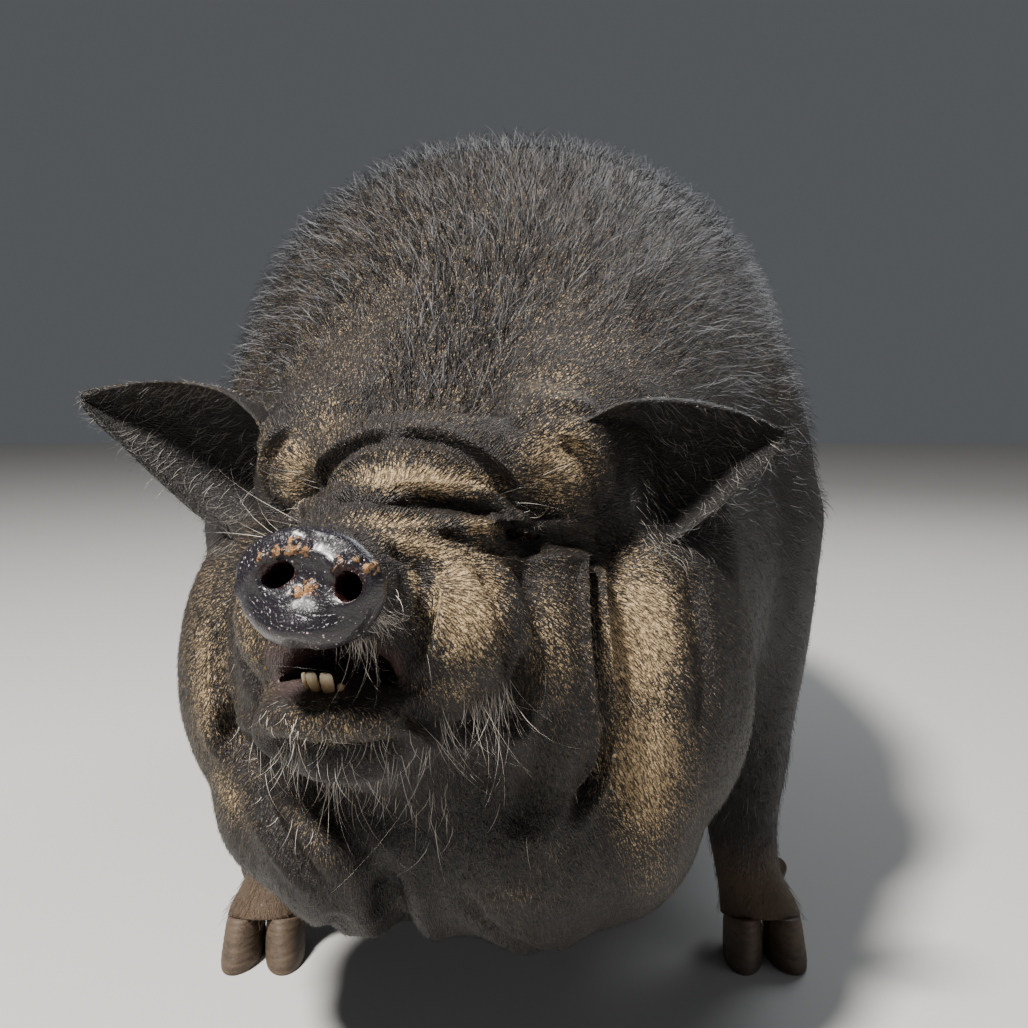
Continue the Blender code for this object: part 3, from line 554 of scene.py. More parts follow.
def shape_snout(obj):
    mesh = obj.data
    points = points_of(mesh)
    p = in_frame(points, SNOUT)
    x, y, z = p.T
    upper = ramp(z, -0.050, -0.036)
    ahead = disc_depth(p)
    tuck = 1 - (0.17 - 0.06 * upper) * ramp(ahead, 0.1745, 0.1905) * (np.abs(x) < 0.05)
    x *= tuck
    z[:] = DISC_CENTRE.z + (z - DISC_CENTRE.z) * tuck
    flat = np.hypot((x - DISC_CENTRE.x) / DISC_RADII[0], (z - DISC_CENTRE.z) / DISC_RADII[1])
    face = ramp(ahead, 0.1820, 0.1890)
    forward = face * (0.0010 * bump(flat, 0.70, 0.12) * upper - 0.0022 * (1 - ramp(flat, 0.40, 0.7)) * upper)
    forward += face * 0.0048 * np.exp(-(x / 0.022) ** 2 - ((z + 0.0580) / 0.0080) ** 2)
    forward -= face * 0.0022 * ramp(flat, 0.62, 0.92)
    forward -= face * 0.0014 * np.exp(-(x / 0.0035) ** 2) * upper
    forward -= face * 0.0022 * np.exp(-(x / 0.0030) ** 2) * ramp(-z, 0.057, 0.064)
    forward -= 0.0026 * ramp(ahead, 0.174, 0.190) * (np.abs(x) < 0.05)
    for side, (_, _, _, drop) in NOSTRIL_SHAPES.items():
        ring = np.hypot((x - side * NOSTRIL_PLACE[0] - NOSTRIL_SHIFT) / 1.15, z - NOSTRIL_PLACE[2] + drop)
        forward += face * 0.0018 * bump(ring, 0.0082, 0.0026)
    p[:, 1] -= forward
    around = np.hypot(x / 1.2, z - DISC_CENTRE.z)
    collar = ramp(around, 0.010, 0.018) * (around < 0.05) * (z > -0.075)
    pinch = 0.0036 * bump(y, -0.1655, 0.0040)
    for place in (-0.1545, -0.1450, -0.1360, -0.1275):
        pinch += 0.0014 * bump(y, place + 0.0012 * np.sin(x * 160), 0.0020)
    scale = 1 - collar * pinch / np.maximum(around, 0.01)
    p[:, 0] *= scale
    p[:, 2] = DISC_CENTRE.z + (p[:, 2] - DISC_CENTRE.z) * scale
    lip = bump(p[:, 2], -0.0985, 0.0085) * ramp(-p[:, 1], 0.128, 0.146) * bump(p[:, 0], -0.006, 0.030)
    p[:, 2] += 0.0062 * lip * (1 - 0.55 * bump(p[:, 0], -0.0085, 0.0100))
    p[:, 1] -= 0.0010 * lip
    set_points(mesh, from_frame(p, SNOUT))


def disc_zone(points):
    return (disc_depth(in_frame(points, SNOUT)) > 0.173) * 1.0


shape_snout(skin)
ease(skin, None, 1)
ease(skin, disc_zone, 3)


# The wrinkles: shallow creases in the skin that run with the deep folds on brow, bridge and snout and round
# the eyes, and across the throat.

FINE_FOLDS = [
    ([(-0.030, -0.110, -0.038), (0.000, -0.116, -0.036), (0.028, -0.108, -0.041)], 0.0022, 0.0018, (1,)),
    ([(0.060, -0.060, 0.012), (0.076, -0.046, 0.004), (0.090, -0.030, -0.008)], 0.0030, 0.0020, (1, -1)),
    ([(0.050, -0.066, 0.022), (0.068, -0.052, 0.024), (0.086, -0.030, 0.018)], 0.0034, 0.0022, (1, -1)),
    ([(-0.045, -0.062, 0.033), (-0.010, -0.070, 0.038), (0.035, -0.064, 0.034)], 0.0040, 0.0018, (1,)),
    ([(-0.050, -0.040, 0.055), (-0.005, -0.048, 0.060), (0.045, -0.040, 0.054)], 0.0050, 0.0020, (1,)),
    ([(-0.034, -0.132, -0.128), (-0.004, -0.138, -0.134), (0.028, -0.128, -0.128)], 0.0030, 0.0018, (1,)),
    ([(0.104, -0.045, -0.080), (0.112, -0.042, -0.120), (0.106, -0.040, -0.160)], 0.0040, 0.0018, (1, -1)),
    ([(0.030, -0.040, -0.200), (0.048, -0.030, -0.225), (0.060, -0.010, -0.245)], 0.0045, 0.0030, (1, -1)),
]

press_folds(skin, head_paths(tree_of(skin), FINE_FOLDS), 0.25)
ease(skin, face_zone, 1)


# The ears. Each is a leaf of thin gristle, cupped forward, with its upper rim rolled over. It grows out of
# the head, so its shell is joined to the skin and the join is stroked smooth.

EAR_ENDS = {1: (Vector((0.070, -0.034, -0.014)), Vector((0.175, -0.004, 0.010))),
            -1: (Vector((-0.080, -0.026, -0.014)), Vector((-0.208, -0.008, 0.027)))}
# Height of the leaf above and below its middle line, from root to tip
EAR_TOP = [(0, 0.022), (0.2, 0.034), (0.45, 0.031), (0.7, 0.021), (0.88, 0.0105), (0.96, 0.005), (1, 0.0012)]
EAR_BOTTOM = [(0, 0.030), (0.2, 0.044), (0.42, 0.043), (0.65, 0.031), (0.84, 0.0165), (0.95, 0.007),
              (1, 0.0012)]


def ear_shell(side, rows=44, half=30):
    """A closed thin shell from the buried root to the tip."""
    base, tip = EAR_ENDS[side]
    rings = []
    for i in range(rows + 1):
        t = (i / rows) ** 0.9
        centre = base.lerp(tip, t) + Vector((0, 0.012 * math.sin(math.pi * t), 0))
        up, down = value_at(EAR_TOP, t), value_at(EAR_BOTTOM, t)
        cup = 0.044 * (1 - t) ** 0.95 + 0.0004
        thick = 0.0040 * (1 - t) + 0.0012
        back, front = [], []
        for k in range(half):
            v = -1 + 2 * k / (half - 1)
            edge = 1 - 0.62 * v**4
            roll = 0.50 * cup * v**4 if v > 0 else 0.12 * cup * v**4
            deep = cup * (1 - abs(v) ** 1.8) - roll
            height = up * math.sin(v * math.pi / 2) if v > 0 else down * math.sin(v * math.pi / 2)
            ripple = 0.0009 * math.sin(9 * t + 5 * v) * (1 - abs(v))
            place = centre + Vector((0, deep + ripple, height))
            back.append(HEAD @ (place + Vector((0, thick * edge, 0))))
            front.append(HEAD @ (place - Vector((0, thick * edge * 0.6, 0))))
        rings.append(back + front[::-1])
    bm = bmesh.new()
    add_loft(bm, rings)
    return object_from("ear", bm)


def blend_in(obj, other, reach, rounds):
    """Joins a form that grows out of the skin and strokes the skin smooth where the two meet."""
    tree = tree_of(obj)
    roots = [v.co for v in other.data.vertices if tree.find_nearest(v.co)[3] < 0.0030]
    seam = KDTree(len(roots))
    for i, place in enumerate(roots):
        seam.insert(place, i)
    seam.balance()
    join_or_cut(obj, other, "UNION")

    def near_seam(points):
        low = np.min(roots, axis=0) - 2 * reach
        high = np.max(roots, axis=0) + 2 * reach
        inside = np.all((points > low) & (points < high), axis=1)
        share = np.zeros(len(points))
        share[inside] = [math.exp(-((seam.find(p)[2] / reach) ** 2)) for p in points[inside]]
        return share

    ease(obj, near_seam, rounds)


for ear_side in (1, -1):
    blend_in(skin, ear_shell(ear_side), 0.009, 8)


# The tail: straight and thin, as thick as a finger at its root. It grows out of the rump and hangs down
# behind it.

TAIL_LINE = [(0, 0.462, 0.436, 0.0165, 0.0165), (0, 0.506, 0.418, 0.0130, 0.0130),
             (0.002, 0.526, 0.375, 0.0100, 0.0100), (0.004, 0.533, 0.310, 0.0080, 0.0080),
             (0.003, 0.535, 0.265, 0.0062, 0.0062), (0.002, 0.535, 0.236, 0.0032, 0.0032)]

tail_clay = bmesh.new()
add_limb(tail_clay, WORLD, TAIL_LINE, 20, 12)
blend_in(skin, object_from("tail", tail_clay), 0.010, 8)


# The openings: nostrils, the slits between the lids, and the flat ends of the legs, where the hooves begin.
# Each is cut out of the soft skin, and the edges of nostrils and slits are stroked round.

EYE_CENTRE = (0.053, -0.0590, -0.031)
EYE_RADIUS = 0.0098
LID_THICKNESS = 0.0012
HOOF_TOP = 0.027
HOOF_TILT = math.radians(14)
FEET = [("fore_left", 1, 0.170, -0.200), ("fore_right", -1, 0.170, -0.200),
        ("hind_left", 1, 0.148, 0.336), ("hind_right", -1, 0.148, 0.336)]


def foot_plane(side, x, y):
    """The slanting plane where the leg's skin ends and the hooves begin."""
    return Matrix.Translation((side * x, y, HOOF_TOP)) @ Matrix.Rotation(-HOOF_TILT, 4, "X")


def raise_lids(obj):
    """Lids: the skin is pushed out wherever it would lie too close round an eyeball."""
    mesh = obj.data
    points = points_of(mesh)
    p = in_frame(points, HEAD)
    for side in (1, -1):
        centre = np.array((side * EYE_CENTRE[0], *EYE_CENTRE[1:]))
        away = p - centre
        far = np.maximum(np.linalg.norm(away, axis=1), 1e-6)
        wanted = EYE_RADIUS + LID_THICKNESS
        over = np.clip(1.45 * wanted - far, 0, None) * (away[:, 1] < 0.004)
        near = over > 0
        target = np.maximum(far, wanted + 0.30 * np.clip(far - wanted, -wanted, None) + 0.0006)
        share = ramp(over, 0.0, 0.45 * wanted)
        p[near] = centre + away[near] * (1 + share * (target / far - 1))[near][:, None]
    set_points(mesh, from_frame(p, HEAD))


def near_openings(points):
    """1 at the edges of nostrils and eye slits, which are rounded after the cut."""
    share = np.zeros(len(points))
    edges = ((SNOUT, NOSTRIL_SHIFT, NOSTRIL_PLACE, 0.012), (HEAD, 0, EYE_CENTRE, 0.016))
    for place, middle, centre, reach in edges:
        p = in_frame(points, place)
        p[:, 0] = np.abs(p[:, 0] - middle)
        share = np.maximum(share, np.linalg.norm(p - np.array(centre), axis=1) < reach)
    return share


openings = bmesh.new()
slits = bmesh.new()
soles = bmesh.new()
for side in (1, -1):
    wide, tall, tilt, drop = NOSTRIL_SHAPES[side]
    nostril = (side * NOSTRIL_PLACE[0] + NOSTRIL_SHIFT, NOSTRIL_PLACE[1], NOSTRIL_PLACE[2] - drop)
    add_lump(openings, SNOUT, nostril, (wide, 0.0230, tall), (-12, tilt, side * -8))
    add_lump(openings, HEAD, (side * EYE_CENTRE[0], *EYE_CENTRE[1:]), (EYE_RADIUS, EYE_RADIUS, EYE_RADIUS))
    slit = (side * (EYE_CENTRE[0] + 0.004), EYE_CENTRE[1] - 0.012, EYE_CENTRE[2] - 0.0034)
    add_lump(slits, HEAD, slit, (0.0078, 0.012, 0.0011), (0, side * 8, side * 22))
for foot, side, x, y in FEET:
    below = foot_plane(side, x, y) @ Matrix.Translation((0, 0, -0.08))
    bmesh.ops.create_cube(soles, size=0.16, matrix=below)
raise_lids(skin)
ease(skin, near_openings, 2)
join_or_cut(skin, object_from("openings", openings), "DIFFERENCE")
join_or_cut(skin, object_from("slits", slits), "DIFFERENCE")
ease(skin, near_openings, 3)
join_or_cut(skin, object_from("soles", soles), "DIFFERENCE")


# The hide's depth. The skin lies a little inside the solids, by the depth of its hair, and the fat under it
# is never quite even.

FACE_COAT_DEPTH = 0.0010
BODY_COAT_DEPTH = 0.0030


def settle_skin(obj):
    mesh = obj.data
    points = points_of(mesh)
    depth = FACE_COAT_DEPTH + (BODY_COAT_DEPTH - FACE_COAT_DEPTH) * body_share(points)
    uneven = np.array([0.6 * noise.noise(Vector(p) * 22) + 0.25 * noise.noise(Vector(p) * 55)
                       for p in points])
    free = np.clip((points[:, 2] - 0.030) / 0.02, 0, 1)
    moved = points + normals_of(mesh) * (free * (uneven * 0.0016 - depth))[:, None]
    set_points(mesh, moved)


settle_skin(skin)
skin.data.shade_smooth()


# Marks of the hide, kept on each point of skin and root of hair: dry golden dust on the high rolls, whose
# golden is partly painted sunlight on the rolls and cheeks that face the light, brown mud on the feet, bare
# wet skin on the disc and in the mouth.

# Dusty places of the far side in the head's frame as (centre, radii, strength); their golden is partly
# painted sunlight
FAR_DUST_AND_LIGHT = [
    ((-0.110, -0.030, -0.110), (0.050, 0.060, 0.090), 0.50),
    ((-0.048, -0.120, -0.070), (0.022, 0.040, 0.040), 0.70),
    ((-0.084, -0.050, -0.004), (0.026, 0.034, 0.028), 0.50),
    ((0.120, 0.030, -0.120), (0.040, 0.070, 0.080), 0.25),
]
# Dusty places as they look in the picture: place, half sizes, tilt in degrees and strength; strongest where
# the rolls and the near cheek face the light, so their golden is partly painted sunlight
NEAR_DUST_AND_LIGHT = [
    ((424, 480), (90, 19), 4, 1.10), ((410, 460), (60, 16), 4, 0.60), ((294, 470), (26, 44), 0, 0.88),
    ((560, 462), (50, 62), 24, 0.84), ((396, 522), (66, 14), 3, 0.78), ((480, 527), (28, 11), 12, 0.90),
    ((425, 546), (60, 17), 14, 0.98), ((414, 582), (9, 28), -8, 0.75), ((466, 606), (46, 68), 0, 1.15),
    ((450, 690), (48, 22), 0, 0.50), ((552, 640), (34, 84), 0, 0.60), ((642, 640), (46, 90), 0, 1.18),
    ((647, 765), (46, 84), 0, 1.12), ((652, 860), (34, 46), -12, 0.50), ((203, 680), (18, 96), 0, 0.74),
    ((226, 790), (20, 54), -24, 0.62), ((310, 828), (18, 50), -32, 0.44), ((205, 598), (16, 50), 0, 0.52),
    ((510, 895), (42, 14), 0, 0.36), ((326, 416), (44, 60), 0, 0.50), ((560, 390), (80, 70), 0, 0.50),
    ((450, 400), (110, 46), 0, 0.40), ((330, 724), (84, 26), 0, 0.56), ((560, 850), (40, 40), 0, 0.20),
]


# Golden dust, made stronger on the rolls and cheeks that face the light as painted sunlight, and tan flecks
# on crown and nape
def dust_and_light_at(points):
    p = in_frame(points, HEAD)
    dust = np.zeros(len(p))
    for centre, radii, strength in FAR_DUST_AND_LIGHT:
        away = np.linalg.norm((p - np.array(centre)) / np.array(radii), axis=1)
        dust = np.maximum(dust, strength * np.exp(-away**2))
    u, v = picture_place(points)
    front = ramp(-p[:, 1], -0.120, -0.070)
    for (middle_u, middle_v), (wide, tall), tilt, strength in NEAR_DUST_AND_LIGHT:
        c, s = math.cos(math.radians(tilt)), math.sin(math.radians(tilt))
        across = ((u - middle_u) * c + (v - middle_v) * s) / wide
        rise = ((v - middle_v) * c - (u - middle_u) * s) / tall
        dust = np.maximum(dust, front * strength * np.exp(-across**2 - rise**2))
    crown = np.maximum(ramp(points[:, 1], -0.36, -0.24), ramp(p[:, 2], 0.010, 0.040))
    return np.maximum(dust, 0.38 * crown * ramp(points[:, 2], 0.25, 0.42))


def mud_at(points):
    """Mud splashed up the legs: solid at the hooves, broken higher up."""
    return ramp(0.120 - points[:, 2], 0.0, 0.085) * ramp(np.abs(points[:, 0]), 0.07, 0.11)


def bare_at(points):
    """1 on the disc's face and rim, fading behind it."""
    p = in_frame(points, SNOUT)
    return ramp(disc_depth(p), 0.165, 0.172) * (np.abs(p[:, 0]) < 0.06) * ramp(p[:, 2], -0.082, -0.074)


def gum_at(points):
    """1 inside the mouth, fading over the edges of the lips."""
    p = in_frame(points, SNOUT)
    inside = ramp(p[:, 1], -0.164, -0.150) * ramp(0.034 - np.abs(p[:, 0] + 0.008), 0, 0.006)
    return inside * bump(p[:, 2], -0.083, 0.009) * (p[:, 1] < -0.10)


# Crusts of dried mud round the nostrils as (x, z, radius) on the disc
CRUST_SPOTS = [(-0.0085, -0.0268, 0.0036), (-0.0025, -0.0252, 0.0040), (0.0030, -0.0256, 0.0032),
               (-0.0135, -0.0343, 0.0026), (0.0165, -0.0334, 0.0028), (0.0178, -0.0296, 0.0024),
               (0.0276, -0.0326, 0.0026), (0.0052, -0.0400, 0.0038), (-0.0160, -0.0290, 0.0020),
               (0.0232, -0.0290, 0.0018), (0.0000, -0.0420, 0.0024)]


def crust_at(points):
    p = in_frame(points, SNOUT)
    crust = np.zeros(len(p))
    for x, z, radius in CRUST_SPOTS:
        crust = np.maximum(crust, np.exp(-((p[:, 0] - x) ** 2 + (p[:, 2] - z) ** 2) / radius**2))
    return crust * ramp(-p[:, 1], 0.170, 0.178)


def raise_crusts(obj):
    """The crusts stand up from the disc in lumps."""
    mesh = obj.data
    points = points_of(mesh)
    crust = crust_at(points)
    lumps = np.zeros(len(points))
    for i in np.nonzero(crust > 0.2)[0]:
        lumps[i] = max(0.0, 0.6 + noise.noise(Vector(points[i]) * 420))
    set_points(mesh, points + normals_of(mesh) * (0.0016 * ramp(crust, 0.35, 0.85) * lumps)[:, None])


def speck_at(points):
    """1 on the disc's lower pad and upper edge, where pale grit sticks."""
    p = in_frame(points, SNOUT)
    low = bump(p[:, 2], -0.0590, 0.0085) * (1 - 0.6 * bump(p[:, 0], -0.004, 0.005))
    high = 0.8 * bump(p[:, 2], -0.0300, 0.0050)
    return np.maximum(low, high) * ramp(disc_depth(p), 0.172, 0.180)


def nostril_at(points):
    """1 on the walls of the nostrils."""
    p = in_frame(points, SNOUT)
    inside = np.zeros(len(p))
    for side, (wide, tall, _, drop) in NOSTRIL_SHAPES.items():
        across = (p[:, 0] - side * NOSTRIL_PLACE[0] - NOSTRIL_SHIFT) / (wide + 0.0012)
        rise = (p[:, 2] - NOSTRIL_PLACE[2] + drop) / (tall + 0.0018)
        inside = np.maximum(inside, np.hypot(across, rise) < 1)
    return inside * (p[:, 1] < -0.15)


def keep_marks(mesh, **marks):
    for name, values in marks.items():
        layer = mesh.attributes.new(name, "FLOAT", "POINT")
        layer.data.foreach_set("value", np.asarray(values, np.float32))


SNOUT_TIP = SNOUT @ Vector((0, -0.200, -0.050))


def unit(vectors):
    return vectors / np.maximum(np.linalg.norm(vectors, axis=1), 1e-9)[:, None]


def leg_share(points):
    """1 on the lower legs, easing to 0 at elbow and thigh."""
    low = ramp(0.19 - points[:, 2], 0.0, 0.07)
    return low * ramp(np.abs(points[:, 0]), 0.085, 0.115) * (points[:, 1] > -0.27)


def face_share(points):
    """1 on face and jowls, easing to 0 on crown and neck."""
    p = in_frame(points, HEAD)
    low = 1 - ramp(p[:, 1], 0.030, 0.095)
    brow = 1 - ramp(p[:, 1] + 0.9 * p[:, 2], -0.080, -0.010)
    return low * np.maximum(brow, ramp(-p[:, 2], 0.02, 0.07))


def ear_share(points):
    """1 on the free part of each ear."""
    p = in_frame(points, HEAD)
    left = ramp(p[:, 0], 0.098, 0.108) * ramp(p[:, 2], -0.058, -0.045) * (p[:, 1] < 0.030)
    right = ramp(-p[:, 0], 0.106, 0.116) * ramp(p[:, 2], -0.060, -0.045) * (p[:, 1] < 0.040)
    return np.maximum(left, right) * (p[:, 2] < 0.062)


def brow_share(points):
    """1 on brow rolls and bridge, where dark hairs stand on dusty skin."""
    p = in_frame(points, HEAD)
    return face_share(points) * ramp(p[:, 2], -0.040, -0.028) * (p[:, 1] < 0.03)


def forehead_share(points):
    """1 on the bare-looking lobes between brow and ears."""
    p = in_frame(points, HEAD)
    beside = ramp(np.abs(p[:, 0] - 0.004), 0.022, 0.050)
    return beside * (1 - ramp(p[:, 1], 0.020, 0.075)) * ramp(p[:, 2], -0.045, -0.025)


def back_share(normals):
    """1 where the coat is long and raised, on the upper side of crown, nape and back."""
    return ramp(normals[:, 2], -0.15, 0.70)


def coat_lie(points, normals):
    """The way the coat lies: away from the snout on the head, back and down on the trunk, down the legs."""
    p = in_frame(points, HEAD)
    face = np.maximum(face_share(points), 1 - ramp(p[:, 1], 0.02, 0.12))[:, None]
    ones = np.ones(len(points))
    trunk = np.stack([0.12 * np.sign(points[:, 0]), ones, -0.75 * np.abs(normals[:, 0])], axis=1)
    down = ramp(-p[:, 2], 0.020, 0.070)[:, None] * np.array([0, 0, -1.0])
    lie = face * unit(unit(points - np.array(SNOUT_TIP)) + down) + (1 - face) * unit(trunk)
    legs = leg_share(points)[:, None]
    lie = (1 - legs) * lie + legs * np.array([0, 0.25, -1.0])
    ears = ear_share(points)[:, None]
    out = np.stack([np.sign(p[:, 0]), 0.1 * ones, 0.1 * ones], axis=1) @ np.array(HEAD.to_3x3()).T
    lie = (1 - ears) * lie + ears * out
    return unit(lie - normals * (lie * normals).sum(axis=1)[:, None])


raise_crusts(skin)
skin_points = points_of(skin.data)
keep_marks(skin.data, dust=dust_and_light_at(skin_points), mud=mud_at(skin_points), bare=bare_at(skin_points),
           gum=gum_at(skin_points), crust=crust_at(skin_points), speck=speck_at(skin_points),
           nostril=nostril_at(skin_points), ear=ear_share(skin_points))
lie_layer = skin.data.attributes.new("lie", "FLOAT_VECTOR", "POINT")
lie_layer.data.foreach_set("vector", coat_lie(skin_points, normals_of(skin.data)).astype(np.float32).ravel())


# Shader groups that hide and horn share: the net of cracks in thick skin, dust that lies on it, and the fine
# strokes that short hair draws on it. Each is placed below with its own values.

def new_group(name, inputs, outputs):
    """A shader group; inputs are (name, kind, default), outputs (name, kind)."""
    group = bpy.data.node_groups.new(name, "ShaderNodeTree")
    for label, kind, default in inputs:
        socket = group.interface.new_socket(label, in_out="INPUT", socket_type=kind)
        socket.default_value = default
    for label, kind in outputs:
        group.interface.new_socket(label, in_out="OUTPUT", socket_type=kind)
    return group, group.nodes.new("NodeGroupInput"), group.nodes.new("NodeGroupOutput")


def node(tree, kind, **settings):
    """A new node; a setting names a property, or a socket if there is one of that name."""
    made = tree.nodes.new(kind)
    for label, value in settings.items():
        if label in made.inputs:
            made.inputs[label].default_value = value
        else:
            setattr(made, label, value)
    return made


def plug(tree, sockets_and_values):
    """Gives each socket its number or colour, or links it to another node's output."""
    for socket, value in sockets_and_values:
        if isinstance(value, (int, float, tuple)):
            socket.default_value = value
        else:
            tree.links.new(value, socket)


def math_node(tree, operation, a, b, clamp=False):
    made = tree.nodes.new("ShaderNodeMath")
    made.operation = operation
    made.use_clamp = clamp
    plug(tree, zip(made.inputs, (a, b)))
    return made.outputs[0]


def times(tree, a, b, clamp=False):
    return math_node(tree, "MULTIPLY", a, b, clamp)


def plus(tree, a, b, clamp=False):
    return math_node(tree, "ADD", a, b, clamp)


def minus(tree, a, b, clamp=False):
    return math_node(tree, "SUBTRACT", a, b, clamp)


def mix_colour(tree, factor, a, b):
    made = tree.nodes.new("ShaderNodeMix")
    made.data_type = "RGBA"
    plug(tree, ((made.inputs[0], factor), (made.inputs[6], a), (made.inputs[7], b)))
    return made.outputs[2]


def map_range(tree, value, low, high, to_low=0.0, to_high=1.0):
    made = tree.nodes.new("ShaderNodeMapRange")
    made.interpolation_type = "SMOOTHSTEP"
    tree.links.new(value, made.inputs["Value"])
    for label, number in (("From Min", low), ("From Max", high), ("To Min", to_low), ("To Max", to_high)):
        made.inputs[label].default_value = number
    return made.outputs["Result"]


def mark(tree, name):
    made = tree.nodes.new("ShaderNodeAttribute")
    made.attribute_name = name
    return made.outputs["Fac"]


def object_place(tree):
    """The place on the piece in metres."""
    return tree.nodes.new("ShaderNodeTexCoord").outputs["Object"]


def pattern(tree, kind, where, **settings):
    """A texture sampled at a place."""
    made = node(tree, kind, **settings)
    tree.links.new(where, made.inputs["Vector"])
    return made


def vector_node(tree, operation, *values):
    made = node(tree, "ShaderNodeVectorMath", operation=operation)
    plug(tree, values_for(made, operation, values))
    return made.outputs[0]


def values_for(made, operation, values):
    """Pairs of sockets and values; scaling takes its number in a socket of its own."""
    second = made.inputs["Scale"] if operation == "SCALE" else made.inputs[1]
    return zip((made.inputs[0], second), values)


def leather_group():
    """The net of cracks in thick dry skin: two nets of cells, one finer, both a little bent."""
    group, into, out = new_group(
        "Leather", [("Cells per Metre", "NodeSocketFloat", 260.0), ("Bend", "NodeSocketFloat", 0.35)],
        [("Height", "NodeSocketFloat"), ("Crack", "NodeSocketFloat"), ("Cell", "NodeSocketFloat")])
    where = object_place(group)
    size = into.outputs["Cells per Metre"]
    warp = pattern(group, "ShaderNodeTexNoise", where, Scale=90.0, Detail=2.0)
    bend = vector_node(group, "SCALE", warp.outputs["Color"], times(group, into.outputs["Bend"], 0.02))
    bent = vector_node(group, "ADD", where, bend)
    edges = []
    for share, border in ((1.0, 0.16), (2.3, 0.20)):
        net = pattern(group, "ShaderNodeTexVoronoi", bent, feature="DISTANCE_TO_EDGE")
        group.links.new(times(group, size, share), net.inputs["Scale"])
        edges.append(map_range(group, net.outputs["Distance"], 0.0, border))
    cells = pattern(group, "ShaderNodeTexVoronoi", bent)
    group.links.new(size, cells.inputs["Scale"])
    wide, fine = edges
    group.links.new(wide, out.inputs["Height"])
    whole = times(group, wide, plus(group, times(group, fine, 0.5), 0.5))
    group.links.new(minus(group, 1.0, whole, clamp=True), out.inputs["Crack"])
    tone = node(group, "ShaderNodeSeparateColor")
    group.links.new(cells.outputs["Color"], tone.inputs[0])
    group.links.new(tone.outputs[0], out.inputs["Cell"])
    return group


def dust_group():
    """Dry dust that breaks up into specks where it is thin and keeps out of the cracks."""
    group, into, out = new_group(
        "Dust", [("Amount", "NodeSocketFloat", 0.5), ("Crack", "NodeSocketFloat", 0.0),
                 ("Skin", "NodeSocketColor", (0.03, 0.026, 0.025, 1)),
                 ("Dust", "NodeSocketColor", (0.36, 0.24, 0.12, 1))],
        [("Color", "NodeSocketColor"), ("Mask", "NodeSocketFloat")])
    where = object_place(group)
    amount = into.outputs["Amount"]
    specks = pattern(group, "ShaderNodeTexNoise", where, Scale=900.0, Detail=3.0, Roughness=0.7)
    patches = pattern(group, "ShaderNodeTexNoise", where, Scale=60.0, Detail=4.0, Roughness=0.6)
    patchy = times(group, patches.outputs["Fac"], 0.28)
    speckled = plus(group, times(group, specks.outputs["Fac"], 0.80), patchy)
    wanted = plus(group, amount, times(group, minus(group, speckled, 0.54), 1.2))
    wanted = minus(group, wanted, times(group, into.outputs["Crack"], 0.50))
    covered = map_range(group, wanted, 0.10, 0.60)
    covered = times(group, covered, map_range(group, amount, 0.02, 0.12))
    group.links.new(covered, out.inputs["Mask"])
    dusted = mix_colour(group, covered, into.outputs["Skin"], into.outputs["Dust"])
    group.links.new(dusted, out.inputs["Color"])
    return group


def strokes_group():
    """Fine strokes along the lie of the coat: the same grain sampled at a few steps along it and averaged."""
    group, into, out = new_group(
        "Strokes", [("Lie", "NodeSocketVector", (0, 1, 0)), ("Grain", "NodeSocketFloat", 1300.0),
                    ("Reach", "NodeSocketFloat", 0.0026)], [("Height", "NodeSocketFloat")])
    where = object_place(group)
    total = 0.0
    for step in (-0.5, -0.25, 0.0, 0.25, 0.5):
        shift = vector_node(group, "SCALE", into.outputs["Lie"], times(group, into.outputs["Reach"], step))
        grain = pattern(group, "ShaderNodeTexNoise", vector_node(group, "ADD", where, shift), Detail=0.0)
        group.links.new(into.outputs["Grain"], grain.inputs["Scale"])
        total = plus(group, total, grain.outputs["Fac"])
    group.links.new(map_range(group, times(group, total, 0.2), 0.40, 0.60), out.inputs["Height"])
    return group


LEATHER = leather_group()
DUST = dust_group()
STROKES = strokes_group()


def place_group(tree, group, **settings):
    made = node(tree, "ShaderNodeGroup")
    made.node_tree = group
    for label, value in settings.items():
        made.inputs[label.replace("_", " ")].default_value = value
    return made


# The hide's finish: near-black, faintly mauve skin with its net of cracks, pale strokes of painted sheen
# along the lie of the hair, dust that also carries painted sunlight, mud, the disc's purple-black speckled
# pad and the mauve of lips and gums.

def new_finish(name):
    """A named material with its node tree and its shader."""
    mat = bpy.data.materials.new(name)
    mat.use_nodes = True
    return mat, mat.node_tree, mat.node_tree.nodes["Principled BSDF"]


def set_relief(tree, shader, height, strength, distance):
    relief = node(tree, "ShaderNodeBump", Strength=strength, Distance=distance)
    tree.links.new(height, relief.inputs["Height"])
    tree.links.new(relief.outputs["Normal"], shader.inputs["Normal"])


